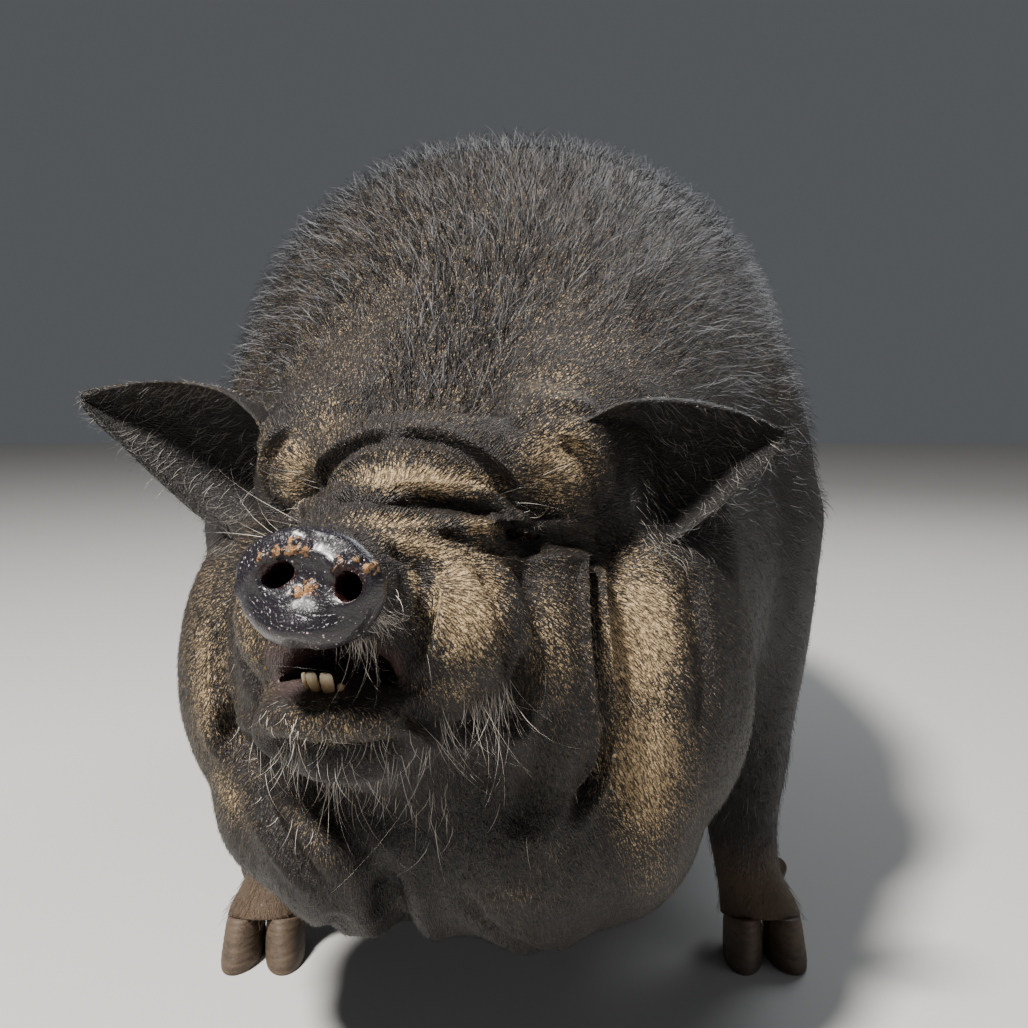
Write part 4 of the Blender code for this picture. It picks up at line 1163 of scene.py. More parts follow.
def hide_material():
    mat, tree, shader = new_finish("hide")
    where = object_place(tree)
    bare, gum, crust = mark(tree, "bare"), mark(tree, "gum"), mark(tree, "crust")

    leather = place_group(tree, LEATHER, Cells_per_Metre=430.0, Bend=0.4)
    tone = pattern(tree, "ShaderNodeTexNoise", where, Scale=14.0, Detail=5.0, Roughness=0.6).outputs["Fac"]
    strokes = place_group(tree, STROKES, Grain=1500.0, Reach=0.0019)
    lie = node(tree, "ShaderNodeAttribute", attribute_name="lie")
    tree.links.new(lie.outputs["Vector"], strokes.inputs["Lie"])
    hairs = strokes.outputs["Height"]

    skin_tone = map_range(tree, tone, 0.35, 0.65)
    base = mix_colour(tree, skin_tone, (0.0085, 0.0072, 0.0076, 1), (0.020, 0.0160, 0.0150, 1))
    # Painted sheen: pale strokes along the lie of the short hair, with dark skin in the gaps and cracks
    # between them
    sheen = times(tree, hairs, map_range(tree, tone, 0.30, 0.70, 0.35, 0.85))
    base = mix_colour(tree, sheen, base, (0.044, 0.035, 0.031, 1))
    gaps = minus(tree, 1.0, hairs, clamp=True)
    gaps = math_node(tree, "MAXIMUM", gaps, times(tree, leather.outputs["Crack"], 0.85))
    dark = mix_colour(tree, times(tree, gaps, 0.8), base, (0.004, 0.0036, 0.004, 1))
    # Painted shade: the cupped ears are painted darker than the rest of the skin
    dark = mix_colour(tree, times(tree, mark(tree, "ear"), 0.8), dark, (0.006, 0.0055, 0.006, 1))

    dusty = place_group(tree, DUST)
    # The dust's golden is paler along the strokes as painted sheen, and its amount also carries painted
    # sunlight
    flecks = mix_colour(tree, hairs, (0.135, 0.092, 0.052, 1), (0.53, 0.385, 0.215, 1))
    tree.links.new(flecks, dusty.inputs["Dust"])
    tree.links.new(mark(tree, "dust"), dusty.inputs["Amount"])
    tree.links.new(times(tree, gaps, 1.1), dusty.inputs["Crack"])
    tree.links.new(dark, dusty.inputs["Skin"])
    shaded = mix_colour(tree, times(tree, gaps, 0.55), dusty.outputs["Color"], (0.012, 0.0095, 0.008, 1))
    muddy = place_group(tree, DUST, Dust=(0.082, 0.054, 0.034, 1))
    tree.links.new(mark(tree, "mud"), muddy.inputs["Amount"])
    tree.links.new(gaps, muddy.inputs["Crack"])
    tree.links.new(shaded, muddy.inputs["Skin"])

    specks = pattern(tree, "ShaderNodeTexVoronoi", where, Scale=520.0, Randomness=1.0)
    rare = node(tree, "ShaderNodeSeparateColor")
    tree.links.new(specks.outputs["Color"], rare.inputs[0])
    shrunk = plus(tree, specks.outputs["Distance"], times(tree, rare.outputs[1], 0.17))
    dot = map_range(tree, shrunk, 0.20, 0.32, 1.0, 0.0)
    some = map_range(tree, rare.outputs[0], 0.35, 0.6)
    grit = times(tree, times(tree, dot, some), mark(tree, "speck"), clamp=True)
    pad = mix_colour(tree, tone, (0.0045, 0.0036, 0.0055, 1), (0.017, 0.0135, 0.020, 1))
    pad = mix_colour(tree, grit, pad, (0.74, 0.58, 0.60, 1))
    fine = pattern(tree, "ShaderNodeTexNoise", where, Scale=520.0, Detail=4.0).outputs["Fac"]
    broken = plus(tree, crust, times(tree, leather.outputs["Cell"], 0.5))
    broken = plus(tree, broken, times(tree, minus(tree, fine, 0.5), 1.4))
    crumbs = map_range(tree, fine, 0.3, 0.7)
    earth = mix_colour(tree, crumbs, (0.075, 0.036, 0.016, 1), (0.36, 0.19, 0.085, 1))
    pad = mix_colour(tree, map_range(tree, broken, 0.76, 1.00), pad, earth)
    pad = mix_colour(tree, mark(tree, "nostril"), pad, (0.014, 0.003, 0.003, 1))

    colour = mix_colour(tree, bare, muddy.outputs["Color"], pad)
    colour = mix_colour(tree, gum, colour, (0.082, 0.048, 0.045, 1))
    tree.links.new(colour, shader.inputs["Base Color"])
    wet = math_node(tree, "MAXIMUM", bare, gum)
    rough = plus(tree, 0.52, times(tree, dusty.outputs["Mask"], 0.36), clamp=True)
    rough = minus(tree, rough, times(tree, wet, 0.18))
    tree.links.new(rough, shader.inputs["Roughness"])
    dry = map_range(tree, crust, 0.25, 0.60, 1.0, 0.0)
    tree.links.new(times(tree, times(tree, wet, dry), 0.42), shader.inputs["Coat Weight"])
    shader.inputs["Coat Roughness"].default_value = 0.24
    shader.inputs["Specular IOR Level"].default_value = 0.34
    raised = times(tree, hairs, minus(tree, 1.0, times(tree, bare, 0.85)))
    height = plus(tree, times(tree, leather.outputs["Height"], 0.45), raised)
    set_relief(tree, shader, height, 0.6, 0.0010)
    return mat


skin.data.materials.clear()
skin.data.materials.append(hide_material())
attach(skin, "root")
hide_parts("head", "neck", "torso", "tail", "ear_left", "ear_right", "foreleg_left", "foreleg_right",
            "hindleg_left", "hindleg_right")


# The eyes: small dark wet balls with a brown iris round the pupil. Each sits deep in the skin, between fat
# lids that leave only a slit.

def eye_ball(name, side):
    """A ball that looks along the face, with each point's angle from the axis of its sight."""
    bm = bmesh.new()
    bmesh.ops.create_uvsphere(bm, u_segments=40, v_segments=28, radius=EYE_RADIUS)
    look = Matrix.Rotation(math.radians(90), 4, "X")
    angles = []
    for vert in bm.verts:
        angle = vert.co.angle(Vector((0, 0, 1)))
        vert.co *= 1 + 0.05 * math.exp(-((angle / 0.45) ** 2))
        angles.append(angle)
    turn = Matrix.Rotation(math.radians(28 * side), 4, "Z")
    centre = Matrix.Translation((side * EYE_CENTRE[0], *EYE_CENTRE[1:]))
    bmesh.ops.transform(bm, matrix=HEAD @ centre @ turn @ look, verts=bm.verts)
    obj = object_from(name, bm)
    keep_marks(obj.data, angle=angles)
    obj.data.shade_smooth()
    return obj


def eye_material():
    mat, tree, shader = new_finish("eye")
    angle = mark(tree, "angle")
    streaks = pattern(tree, "ShaderNodeTexNoise", object_place(tree), Scale=1400.0, Detail=3.0)
    iris = mix_colour(tree, streaks.outputs["Fac"], (0.010, 0.005, 0.003, 1), (0.032, 0.016, 0.008, 1))
    ball = mix_colour(tree, map_range(tree, angle, 0.62, 0.78), iris, (0.045, 0.030, 0.024, 1))
    colour = mix_colour(tree, map_range(tree, angle, 0.26, 0.32), (0.002, 0.002, 0.002, 1), ball)
    tree.links.new(colour, shader.inputs["Base Color"])
    shader.inputs["Roughness"].default_value = 0.06
    shader.inputs["Coat Weight"].default_value = 1.0
    shader.inputs["Coat Roughness"].default_value = 0.03
    return mat


wet_eye = eye_material()
for side, word in ((1, "left"), (-1, "right")):
    ball = eye_ball(f"eyeball_{word}", side)
    ball.data.materials.append(wet_eye)
    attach(ball, "root")
    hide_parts(f"eye_{word}")


# The teeth: the lower front ones, worn, cream and stained at the root. They stand in a wet mauve gum behind
# the lower lip.

TOOTH_MIDDLE = -0.0095
# Each side's teeth as (place from the middle, half width, how far back, height)
TOOTH_ROWS = {1: [(0.0032, 0.0030, 0.0, 1.0), (0.0078, 0.0015, 0.0040, 0.55)],
              -1: [(0.0029, 0.0026, 0.0006, 0.97), (0.0068, 0.0013, 0.0022, 0.90)]}
GUM_LINE = [(-0.022, -0.135, -0.0975, 0.0032, 0.0034), (-0.016, -0.1415, -0.0965, 0.0036, 0.0038),
            (TOOTH_MIDDLE - 0.002, -0.1455, -0.0968, 0.0036, 0.0038),
            (-0.001, -0.1420, -0.0968, 0.0036, 0.0038), (0.004, -0.135, -0.0976, 0.0032, 0.0034)]


def teeth_of_side(name, side):
    """Two spades with rounded, worn edges that lean forward out of the gum."""
    bm = bmesh.new()
    for offset, half, back, tall in TOOTH_ROWS[side]:
        x = TOOTH_MIDDLE + side * offset
        top = -0.0946 + 0.0118 * tall
        add_limb(bm, SNOUT, [(x, -0.1442 + back, -0.0975, half * 0.80, 0.0020),
                             (x, -0.1474 + back, -0.0915, half * 0.92, 0.0021),
                             (x + side * 0.0003, -0.1502 + back, top - 0.0040, half, 0.0018),
                             (x + side * 0.0005, -0.1513 + back, top - 0.0012, half * 0.94, 0.0012),
                             (x + side * 0.0006, -0.1517 + back, top, half * 0.60, 0.0006)], 20, 7)
    obj = object_from(name, bm)
    height = in_frame(points_of(obj.data), SNOUT)[:, 2]
    keep_marks(obj.data, tip=ramp(height, -0.091, -0.082))
    obj.data.shade_smooth()
    return obj


def tooth_material():
    mat, tree, shader = new_finish("enamel")
    stretch = node(tree, "ShaderNodeMapping")
    stretch.inputs["Scale"].default_value = (1.0, 1.0, 0.18)
    tree.links.new(object_place(tree), stretch.inputs["Vector"])
    along = stretch.outputs["Vector"]
    stain = pattern(tree, "ShaderNodeTexNoise", along, Scale=900.0, Detail=4.0).outputs["Fac"]
    cream = mix_colour(tree, mark(tree, "tip"), (0.48, 0.32, 0.17, 1), (0.74, 0.64, 0.45, 1))
    stained = mix_colour(tree, map_range(tree, stain, 0.48, 0.72, 0.0, 0.55), cream, (0.30, 0.17, 0.08, 1))
    tree.links.new(stained, shader.inputs["Base Color"])
    tree.links.new(map_range(tree, stain, 0.3, 0.7, 0.18, 0.42), shader.inputs["Roughness"])
    set_relief(tree, shader, stain, 0.25, 0.0003)
    shader.inputs["Subsurface Weight"].default_value = 0.12
    shader.inputs["Subsurface Radius"].default_value = (0.002, 0.001, 0.0006)
    return mat


def gum_material():
    mat, tree, shader = new_finish("gum")
    blotch = pattern(tree, "ShaderNodeTexNoise", object_place(tree), Scale=260.0, Detail=4.0).outputs["Fac"]
    pale = map_range(tree, blotch, 0.35, 0.65)
    flesh = mix_colour(tree, pale, (0.060, 0.026, 0.026, 1), (0.17, 0.078, 0.074, 1))
    tree.links.new(flesh, shader.inputs["Base Color"])
    tree.links.new(map_range(tree, blotch, 0.3, 0.7, 0.18, 0.34), shader.inputs["Roughness"])
    set_relief(tree, shader, blotch, 0.3, 0.0005)
    return mat


enamel = tooth_material()
for side, word in ((1, "left"), (-1, "right")):
    teeth = teeth_of_side(f"teeth_{word}", side)
    teeth.data.materials.append(enamel)
    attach(teeth, "root")
    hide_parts(f"incisor_{word}")
gum_clay = bmesh.new()
add_limb(gum_clay, SNOUT, GUM_LINE, 20, 8)
gum = object_from("gum", gum_clay)
gum.data.materials.append(gum_material())
gum.data.shade_smooth()
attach(gum, "root")


# The hooves: two horn claws a foot, flat inside, rounded outside and worn level at the sole, with growth
# rings and a crust of brown mud, and two small dewclaws behind them that don't reach the ground.

# Sections of a claw from its top down as (share of the height, half width, half length, shift forward)
HOOF_RINGS = [(0.0, 0.0112, 0.0240, 0.0), (0.12, 0.0121, 0.0256, -0.001), (0.35, 0.0126, 0.0270, -0.003),
              (0.60, 0.0130, 0.0279, -0.0052), (0.8, 0.0132, 0.0285, -0.007), (0.96, 0.0129, 0.0280, -0.008),
              (1.0, 0.0122, 0.0272, -0.008)]


def hoof(name, side, x, y, toe, sides=44, levels=34):
    plane = foot_plane(side, x, y)
    rings = []
    for drop, half_x, half_y, shift in smooth_line(HOOF_RINGS, levels):
        drop = min(max(drop, 0.0), 1.0)
        growth = 1 + 0.008 * math.sin(46 * drop) * (drop < 0.94)
        ring = []
        for k in range(sides):
            a = 2 * math.pi * k / sides
            off = max(0.0012, 0.0136 + half_x * growth * math.cos(a))
            along = shift + half_y * growth * math.sin(a)
            splay = toe * 0.08 * max(0, -along)
            top = plane @ Vector((toe * off, along, 0))
            ring.append(top.lerp(Vector((top.x + splay, top.y, 0)), drop))
        rings.append(ring)
    bm = bmesh.new()
    add_loft(bm, rings)
    return object_from(name, bm)


def dewclaw(name, side, x, y, toe):
    bm = bmesh.new()
    joints = [(side * x + toe * 0.012, y + 0.020, 0.052, 0.0085, 0.0070),
              (side * x + toe * 0.016, y + 0.033, 0.045, 0.0080, 0.0068),
              (side * x + toe * 0.0168, y + 0.038, 0.038, 0.0068, 0.0054),
              (side * x + toe * 0.017, y + 0.040, 0.033, 0.0048, 0.0036)]
    add_limb(bm, WORLD, joints, 24, 6)
    return object_from(name, bm)


def horn_material():
    mat, tree, shader = new_finish("horn")
    where = object_place(tree)
    layers = node(tree, "ShaderNodeMapping")
    layers.inputs["Scale"].default_value = (1.0, 1.0, 4.5)
    tree.links.new(where, layers.inputs["Vector"])
    growth = pattern(tree, "ShaderNodeTexNoise", layers.outputs["Vector"], Scale=75.0, Detail=6.0,
                     Roughness=0.6)
    chips = pattern(tree, "ShaderNodeTexNoise", where, Scale=420.0, Detail=5.0, Roughness=0.7)
    rings = growth.outputs["Fac"]
    banded = map_range(tree, rings, 0.35, 0.68)
    base = mix_colour(tree, banded, (0.016, 0.013, 0.011, 1), (0.085, 0.060, 0.042, 1))
    muddy = place_group(tree, DUST, Amount=0.36, Dust=(0.105, 0.070, 0.044, 1))
    tree.links.new(base, muddy.inputs["Skin"])
    tree.links.new(muddy.outputs["Color"], shader.inputs["Base Color"])
    tree.links.new(plus(tree, 0.45, times(tree, muddy.outputs["Mask"], 0.42)), shader.inputs["Roughness"])
    set_relief(tree, shader, plus(tree, rings, times(tree, chips.outputs["Fac"], 0.6)), 0.5, 0.0009)
    return mat


horn = horn_material()
for foot, side, x, y in FEET:
    for toe, place in ((side, "outer"), (-side, "inner")):
        claws = [(hoof(f"claw_{foot}_{place}", side, x, y, toe), f"hoof_{foot}_{place}"),
                 (dewclaw(f"small_claw_{foot}_{place}", side, x, y, toe), f"dewclaw_{foot}_{place}")]
        for claw, solid in claws:
            claw.data.materials.append(horn)
            claw.data.shade_smooth()
            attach(claw, "root")
            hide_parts(solid)


# The coat. Stiff black bristles, a share of them painted silver as painted glints, each a thin three-sided
# horn that
# bends along the lie of the coat: long and raised on nape and back, shorter down the flanks, and a close fuzz
# on face, jowls and legs.

HAIR_SEED = 41
HAIR_SINK = 0.0012
# Size of each hair's patch on the unwrap of the skin, and how far hairs stay inside the solids' box
PATCH = 0.003
BOX_MARGIN = 0.0002


class Hide:
    """The finished skin's triangles: corners, smooth normals and areas, for setting roots."""

    def __init__(self, mesh):
        mesh.calc_loop_triangles()
        corners = np.empty(len(mesh.loop_triangles) * 3, np.int32)
        mesh.loop_triangles.foreach_get("vertices", corners)
        corners = corners.reshape(-1, 3)
        self.points = points_of(mesh)[corners]
        self.normals = normals_of(mesh)[corners]
        self.centres = self.points.mean(axis=1)
        self.facing = unit(self.normals.mean(axis=1))
        a, b, c = self.points.transpose(1, 0, 2)
        self.areas = 0.5 * np.linalg.norm(np.cross(b - a, c - a), axis=1)

    def roots(self, per_square_metre, rng):
        """Seeded roots on the skin, as many on each triangle as its area asks for, with their normals."""
        wanted = per_square_metre * self.areas
        counts = np.floor(wanted + rng.random(len(wanted))).astype(int)
        chosen = np.repeat(np.arange(len(counts)), counts)
        u, v = rng.random((2, len(chosen)))
        over = u + v > 1
        u[over], v[over] = 1 - u[over], 1 - v[over]
        shares = np.stack([1 - u - v, u, v], axis=1)[..., None]
        return (self.points[chosen] * shares).sum(axis=1), unit((self.normals[chosen] * shares).sum(axis=1))


def coat_length(points, normals):
    face, legs, ears, bare = face_share(points), leg_share(points), ear_share(points), forehead_share(points)
    p = in_frame(points, HEAD)
    crown = bump(p[:, 0], 0.0, 0.060) * bump(p[:, 1], 0.030, 0.070)
    body = 0.0085 + 0.0115 * back_share(normals) + 0.0040 * crown
    body = body * (1 - bare) + 0.0046 * bare
    muzzle = ramp(-p[:, 1], 0.070, 0.120)
    cheek = 0.0046 - 0.0014 * muzzle + 0.0016 * brow_share(points)
    length = (1 - face) * body + face * cheek
    coronet = bump(points[:, 2], 0.030, 0.010)
    length = (1 - legs) * length + legs * (0.006 + 0.05 * np.clip(points[:, 2], 0, 0.15) + 0.006 * coronet)
    return (1 - ears) * length + ears * 0.0065


def coat_lift(points, normals):
    """Degrees by which a hair leaves the skin."""
    back = back_share(normals) * (1 - face_share(points)) * (1 - leg_share(points)) * (1 - ear_share(points))
    return 14 + 24 * back * (1 - forehead_share(points))


def no_hair(points):
    """1 on the bare disc, in nostrils and mouth, in the eye slits and at the hooves' tops."""
    bald = np.maximum(ramp(bare_at(points), 0.2, 0.5), gum_at(points) > 0.25)
    for side in (1, -1):
        p = in_frame(points, HEAD) - np.array((side * EYE_CENTRE[0], *EYE_CENTRE[1:]))
        bald = np.maximum(bald, np.linalg.norm(p, axis=1) < 0.0120)
    return np.maximum(bald, points[:, 2] < 0.029)


def coat_density(points, normals):
    """Hairs for each square metre."""
    face, legs, ears = face_share(points), leg_share(points), ear_share(points)
    density = 30500 + 38500 * back_share(normals) - 17000 * ramp(-normals[:, 2], 0.2, 0.8)
    density = density * (1 - 0.15 * forehead_share(points))
    density = (1 - face) * density + face * (210000 - 90000 * brow_share(points))
    density = (1 - legs) * density + legs * 60000
    density = (1 - ears) * density + ears * 110000
    inside = ear_share(points) * ((normals @ np.array(HEAD.to_3x3() @ Vector((0, -1, 0)))) > 0.1)
    return density * (1 - 0.93 * inside) * (1 - no_hair(points))


def trunk_unwrap(points):
    """The trunk's skin rolled out flat: the angle round the barrel against the place along it."""
    turn = np.arctan2(points[:, 0], points[:, 2] - 0.31) / (2 * math.pi) + 0.5
    return turn, (points[:, 1] + 0.40) / 1.0


def head_unwrap(points):
    """The head's skin peeled off a globe round its middle."""
    p = in_frame(points, HEAD) - np.array((0, 0.02, -0.09))
    turn = np.arctan2(p[:, 0], -p[:, 1]) / (2 * math.pi) + 0.5
    return turn, np.arcsin(np.clip(unit(p)[:, 2], -1, 1)) / math.pi + 0.5


def leg_unwrap(points):
    """Each leg's skin rolled out in its own quarter."""
    quarter = (points[:, 0] > 0) * 1.0 + (points[:, 1] > 0) * 2.0
    middle_y = np.where(points[:, 1] > 0, 0.35, -0.185)
    turn = np.arctan2(np.abs(points[:, 0]) - 0.155, points[:, 1] - middle_y) / (2 * math.pi) + 0.5
    return (quarter + 0.04 + 0.92 * turn) / 4, points[:, 2] / 0.20


def joined_mesh(name, points, triangles):
    mesh = bpy.data.meshes.new(name)
    mesh.vertices.add(len(points))
    mesh.vertices.foreach_set("co", points.astype(np.float32).ravel())
    mesh.loops.add(triangles.size)
    mesh.loops.foreach_set("vertex_index", triangles.astype(np.int32).ravel())
    mesh.polygons.add(len(triangles))
    mesh.polygons.foreach_set("loop_start", np.arange(0, triangles.size, 3, dtype=np.int32))
    mesh.update(calc_edges=True)
    obj = bpy.data.objects.new(name, mesh)
    bpy.context.scene.collection.objects.link(obj)
    return obj


def bristle_pattern(rings):
    """Triangles of one closed three-sided bristle: sides, tip and root."""
    faces = []
    for k in range(rings - 1):
        for j in range(3):
            a, b = 3 * k + j, 3 * k + (j + 1) % 3
            faces += [(a, b, b + 3), (a, b + 3, a + 3)]
    last = 3 * (rings - 1)
    faces += [(last + j, last + (j + 1) % 3, 3 * rings) for j in range(3)]
    return np.array(faces + [(0, 2, 1)])


def bristles(name, roots, normals, lies, unwrap, rng, length, width, lift, bend, rings, curl):
    """One joined mesh of bristles, each bending along its lie, with its patch of the unwrap and its shade."""
    count = len(roots)
    across = np.cross(normals, lies)
    point = roots.copy()
    angle = np.radians(lift)
    shares = np.linspace(1.25, 0.75, rings)
    shares /= shares.sum()
    columns, places = [], []
    for k in range(rings):
        along = lies * np.cos(angle)[:, None] + normals * np.sin(angle)[:, None]
        flat = normals * np.cos(angle)[:, None] - lies * np.sin(angle)[:, None]
        if k == 0:
            point = point - along * HAIR_SINK
        wide = width * (1 - 0.22 * k - (0.08 if k == rings - 1 else 0))
        for j in range(3):
            turn = 2 * math.pi * j / 3 + 0.5
            corner = across * math.cos(turn) + flat * math.sin(turn) * 0.75
            columns.append(point + corner * (wide / 2)[:, None])
            places.append((j / 2 - 0.5, k / rings - 0.5))
        step = length * shares[k] + (HAIR_SINK if k == 0 else 0)
        point = point + along * step[:, None] + across * (curl * length * 0.1 * (k + 1))[:, None]
        angle = angle - bend
    columns.append(point)
    places.append((0.0, 0.5))
    points = np.stack(columns, axis=1)
    low, high = (np.array(corner) for corner in solid_box)
    points = np.clip(points, low + BOX_MARGIN, high - BOX_MARGIN)
    each = points.shape[1]
    pattern = bristle_pattern(rings)
    triangles = (pattern[None] + (np.arange(count) * each)[:, None, None]).reshape(-1, 3)
    obj = joined_mesh(name, points.reshape(-1, 3), triangles)
    across_map, up_map = unwrap(roots)
    spots = np.array(places) * PATCH
    u = np.clip(across_map, 0.002, 0.998)[:, None] + spots[None, :, 0]
    v = np.clip(up_map, 0.002, 0.998)[:, None] + spots[None, :, 1]
    uv = np.stack([u, v], axis=2).reshape(-1, 2)
    layer = obj.data.uv_layers.new(name="OFBake")
    layer.data.foreach_set("uv", uv[triangles.ravel()].astype(np.float32).ravel())
    face = face_share(roots)
    marks = {"shade": rng.random(count), "dust": dust_and_light_at(roots) * face * (1 - 0.75 * brow_share(roots)),
             "mud": mud_at(roots), "fuzz": face * (1 - ear_share(roots))}
    keep_marks(obj.data, **{label: np.repeat(values, each) for label, values in marks.items()})
    obj.data.shade_smooth()
    return obj


def bristle_material():
    """Black bristles, a share painted silver as painted glints; paler fuzz with painted sheen and golden dust
    that also carries painted sunlight on the face; brown with mud at the feet.
    """
    mat, tree, shader = new_finish("bristle")
    shade = mark(tree, "shade")
    # Painted glints: a share of the black bristles is painted silver where real bristles would shine
    painted_glint = map_range(tree, shade, 0.60, 1.0)
    back = mix_colour(tree, painted_glint, (0.0042, 0.0043, 0.0050, 1), (0.190, 0.190, 0.200, 1))
    # Paler fuzz on the face: pale hairs that also carry painted sheen
    pale = map_range(tree, shade, 0.50, 1.0)
    cheek = mix_colour(tree, pale, (0.0042, 0.0037, 0.0035, 1), (0.088, 0.071, 0.056, 1))
    colour = mix_colour(tree, mark(tree, "fuzz"), back, cheek)
    light = map_range(tree, shade, 0.30, 0.70, 0.05, 0.95)
    # Golden dust on the face's hairs, whose amount also carries painted sunlight
    dusty = times(tree, mark(tree, "dust"), light, clamp=True)
    colour = mix_colour(tree, dusty, colour, (0.58, 0.43, 0.25, 1))
    colour = mix_colour(tree, times(tree, mark(tree, "mud"), 0.7), colour, (0.095, 0.062, 0.038, 1))
    tree.links.new(colour, shader.inputs["Base Color"])
    scales = pattern(tree, "ShaderNodeTexNoise", object_place(tree), Scale=1500.0, Detail=0.0)
    tree.links.new(map_range(tree, scales.outputs["Fac"], 0.3, 0.7, 0.24, 0.42), shader.inputs["Roughness"])
    shader.inputs["Specular IOR Level"].default_value = 0.34
    return mat


bristle_finish = bristle_material()
hide = Hide(skin.data)
density = coat_density(hide.centres, hide.facing) * 1.0
face_here = face_share(hide.centres)
legs_here = leg_share(hide.centres)
head_here = in_frame(hide.centres, HEAD)
on_head = head_here[:, 1] < 0.115
top_here = hide.facing[:, 2] > 0.28
left_here = hide.centres[:, 0] > 0
in_front = hide.centres[:, 1] < 0.10
on_trunk = ~on_head & (legs_here <= 0.5)
on_face = on_head & (face_here > 0.5)
on_jowl = on_face & (head_here[:, 1] >= -0.045)
jowl_left = head_here[:, 0] > 0
on_back = on_trunk & top_here
on_flank = on_trunk & ~top_here
# Each piece of the coat with its zone of the skin, its unwrap and the rings of each hair
COAT_PIECES = [
    ("fuzz_muzzle", on_face & (head_here[:, 1] < -0.045), head_unwrap, 1),
    ("fuzz_jowl_left", on_jowl & jowl_left, head_unwrap, 1),
    ("fuzz_jowl_right", on_jowl & ~jowl_left, head_unwrap, 1),
    ("bristles_crown", on_head & (face_here <= 0.5), head_unwrap, 3),
    ("fuzz_legs", ~on_head & (legs_here > 0.5), leg_unwrap, 2),
    ("bristles_shoulder_left", on_back & left_here & in_front, trunk_unwrap, 3),
    ("bristles_shoulder_right", on_back & ~left_here & in_front, trunk_unwrap, 3),
    ("bristles_rump_left", on_back & left_here & ~in_front, trunk_unwrap, 3),
    ("bristles_rump_right", on_back & ~left_here & ~in_front, trunk_unwrap, 3),
    ("bristles_flank_left", on_flank & left_here, trunk_unwrap, 3),
    ("bristles_flank_right", on_flank & ~left_here, trunk_unwrap, 3),
]
for number, (name, zone, unwrap, rings) in enumerate(COAT_PIECES):
    rng = np.random.default_rng(HAIR_SEED + number)
    roots, normals = hide.roots(np.where(zone, density, 0), rng)
    count = len(roots)
    lies = coat_lie(roots, normals)
    turn = rng.normal(0, 0.22, count)[:, None]
    lies = lies * np.cos(turn) + np.cross(normals, lies) * np.sin(turn)
    length = coat_length(roots, normals) * rng.uniform(0.62, 1.15, count)
    width = np.clip(0.00021 + 0.0115 * length, 0.00027, 0.00048) + 0.00016 * (rings == 1)
    width = width * rng.uniform(0.8, 1.15, count)
    lift = coat_lift(roots, normals) * rng.uniform(0.55, 1.45, count)
    bend, curl = rng.uniform(0.0, 0.16, count), rng.normal(0, 0.6, count)
    piece = bristles(name, roots, normals, lies, unwrap, rng, length, width, lift, bend, rings, curl)
    piece.data.materials.append(bristle_finish)
    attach(piece, "root")


# The long hairs: pale whiskers on muzzle, lips and chin and over the eyes, sparse curved hairs inside the
# ears, lashes, and the brush at the tail's end.

# Whisker beds as (frame, centre, spread, direction, count, shortest, longest); True for one on both sides
WHISKER_BEDS = [
    (SNOUT, (0.044, -0.114, -0.097), (0.030, 0.020, 0.008), (0.30, -0.30, -1.0), 66, 0.012, 0.034, False),
    (SNOUT, (0.048, -0.112, -0.096), (0.020, 0.014, 0.006), (0.50, -0.25, -1.0), 8, 0.038, 0.052, False),
    (SNOUT, (0.031, -0.168, -0.056), (0.006, 0.005, 0.014), (1.0, -0.35, -0.75), 52, 0.006, 0.014, False),
    (SNOUT, (0.024, -0.164, -0.074), (0.012, 0.008, 0.006), (0.42, -0.45, -1.0), 20, 0.012, 0.030, False),
    (SNOUT, (-0.030, -0.166, -0.056), (0.006, 0.005, 0.014), (-1.0, -0.3, -0.5), 26, 0.004, 0.008, False),
    (SNOUT, (-0.004, -0.138, -0.118), (0.044, 0.024, 0.010), (0.05, -0.25, -1.0), 120, 0.008, 0.026, False),
    (SNOUT, (0.010, -0.130, -0.118), (0.034, 0.020, 0.008), (0.10, -0.20, -1.0), 9, 0.036, 0.046, False),
    (SNOUT, (-0.004, -0.160, -0.100), (0.032, 0.008, 0.006), (0.10, -0.60, -1.0), 60, 0.004, 0.009, False),
    (SNOUT, (-0.032, -0.126, -0.034), (0.010, 0.018, 0.008), (-1.0, -0.2, 0.30), 6, 0.026, 0.048, False),
    (SNOUT, (0.002, -0.156, -0.072), (0.026, 0.008, 0.004), (0.2, -0.45, -1.0), 40, 0.005, 0.012, False),
    (HEAD, (0.056, -0.070, -0.014), (0.018, 0.010, 0.008), (0.6, -0.6, 0.2), 12, 0.012, 0.026, True),
    (HEAD, (0.084, -0.052, -0.110), (0.014, 0.014, 0.060), (0.35, -0.35, -1.0), 36, 0.006, 0.015, True),
    (HEAD, (-0.010, -0.080, -0.165), (0.060, 0.020, 0.016), (0.0, -0.25, -1.0), 50, 0.010, 0.028, False),
]
LASH_COUNT = 46
WHISKER_WIDTH = 0.00034
LASH_WIDTH = 0.00028
BRUSH_WIDTH = 0.0005


def nearest_roots(tree, wanted):
    """The places on the skin nearest to the wanted ones, with the skin's normals there."""
    found = [tree.find_nearest(Vector(p)) for p in wanted]
    return np.array([hit[0] for hit in found]), unit(np.array([hit[1] for hit in found]))


def whisker_material(name, dark, light):
    mat, tree, shader = new_finish(name)
    streak = pattern(tree, "ShaderNodeTexNoise", object_place(tree), Scale=700.0, Detail=2.0).outputs["Fac"]
    share = plus(tree, times(tree, mark(tree, "shade"), 0.8), times(tree, streak, 0.2), clamp=True)
    tree.links.new(mix_colour(tree, share, dark, light), shader.inputs["Base Color"])
    tree.links.new(map_range(tree, streak, 0.3, 0.7, 0.24, 0.40), shader.inputs["Roughness"])
    return mat


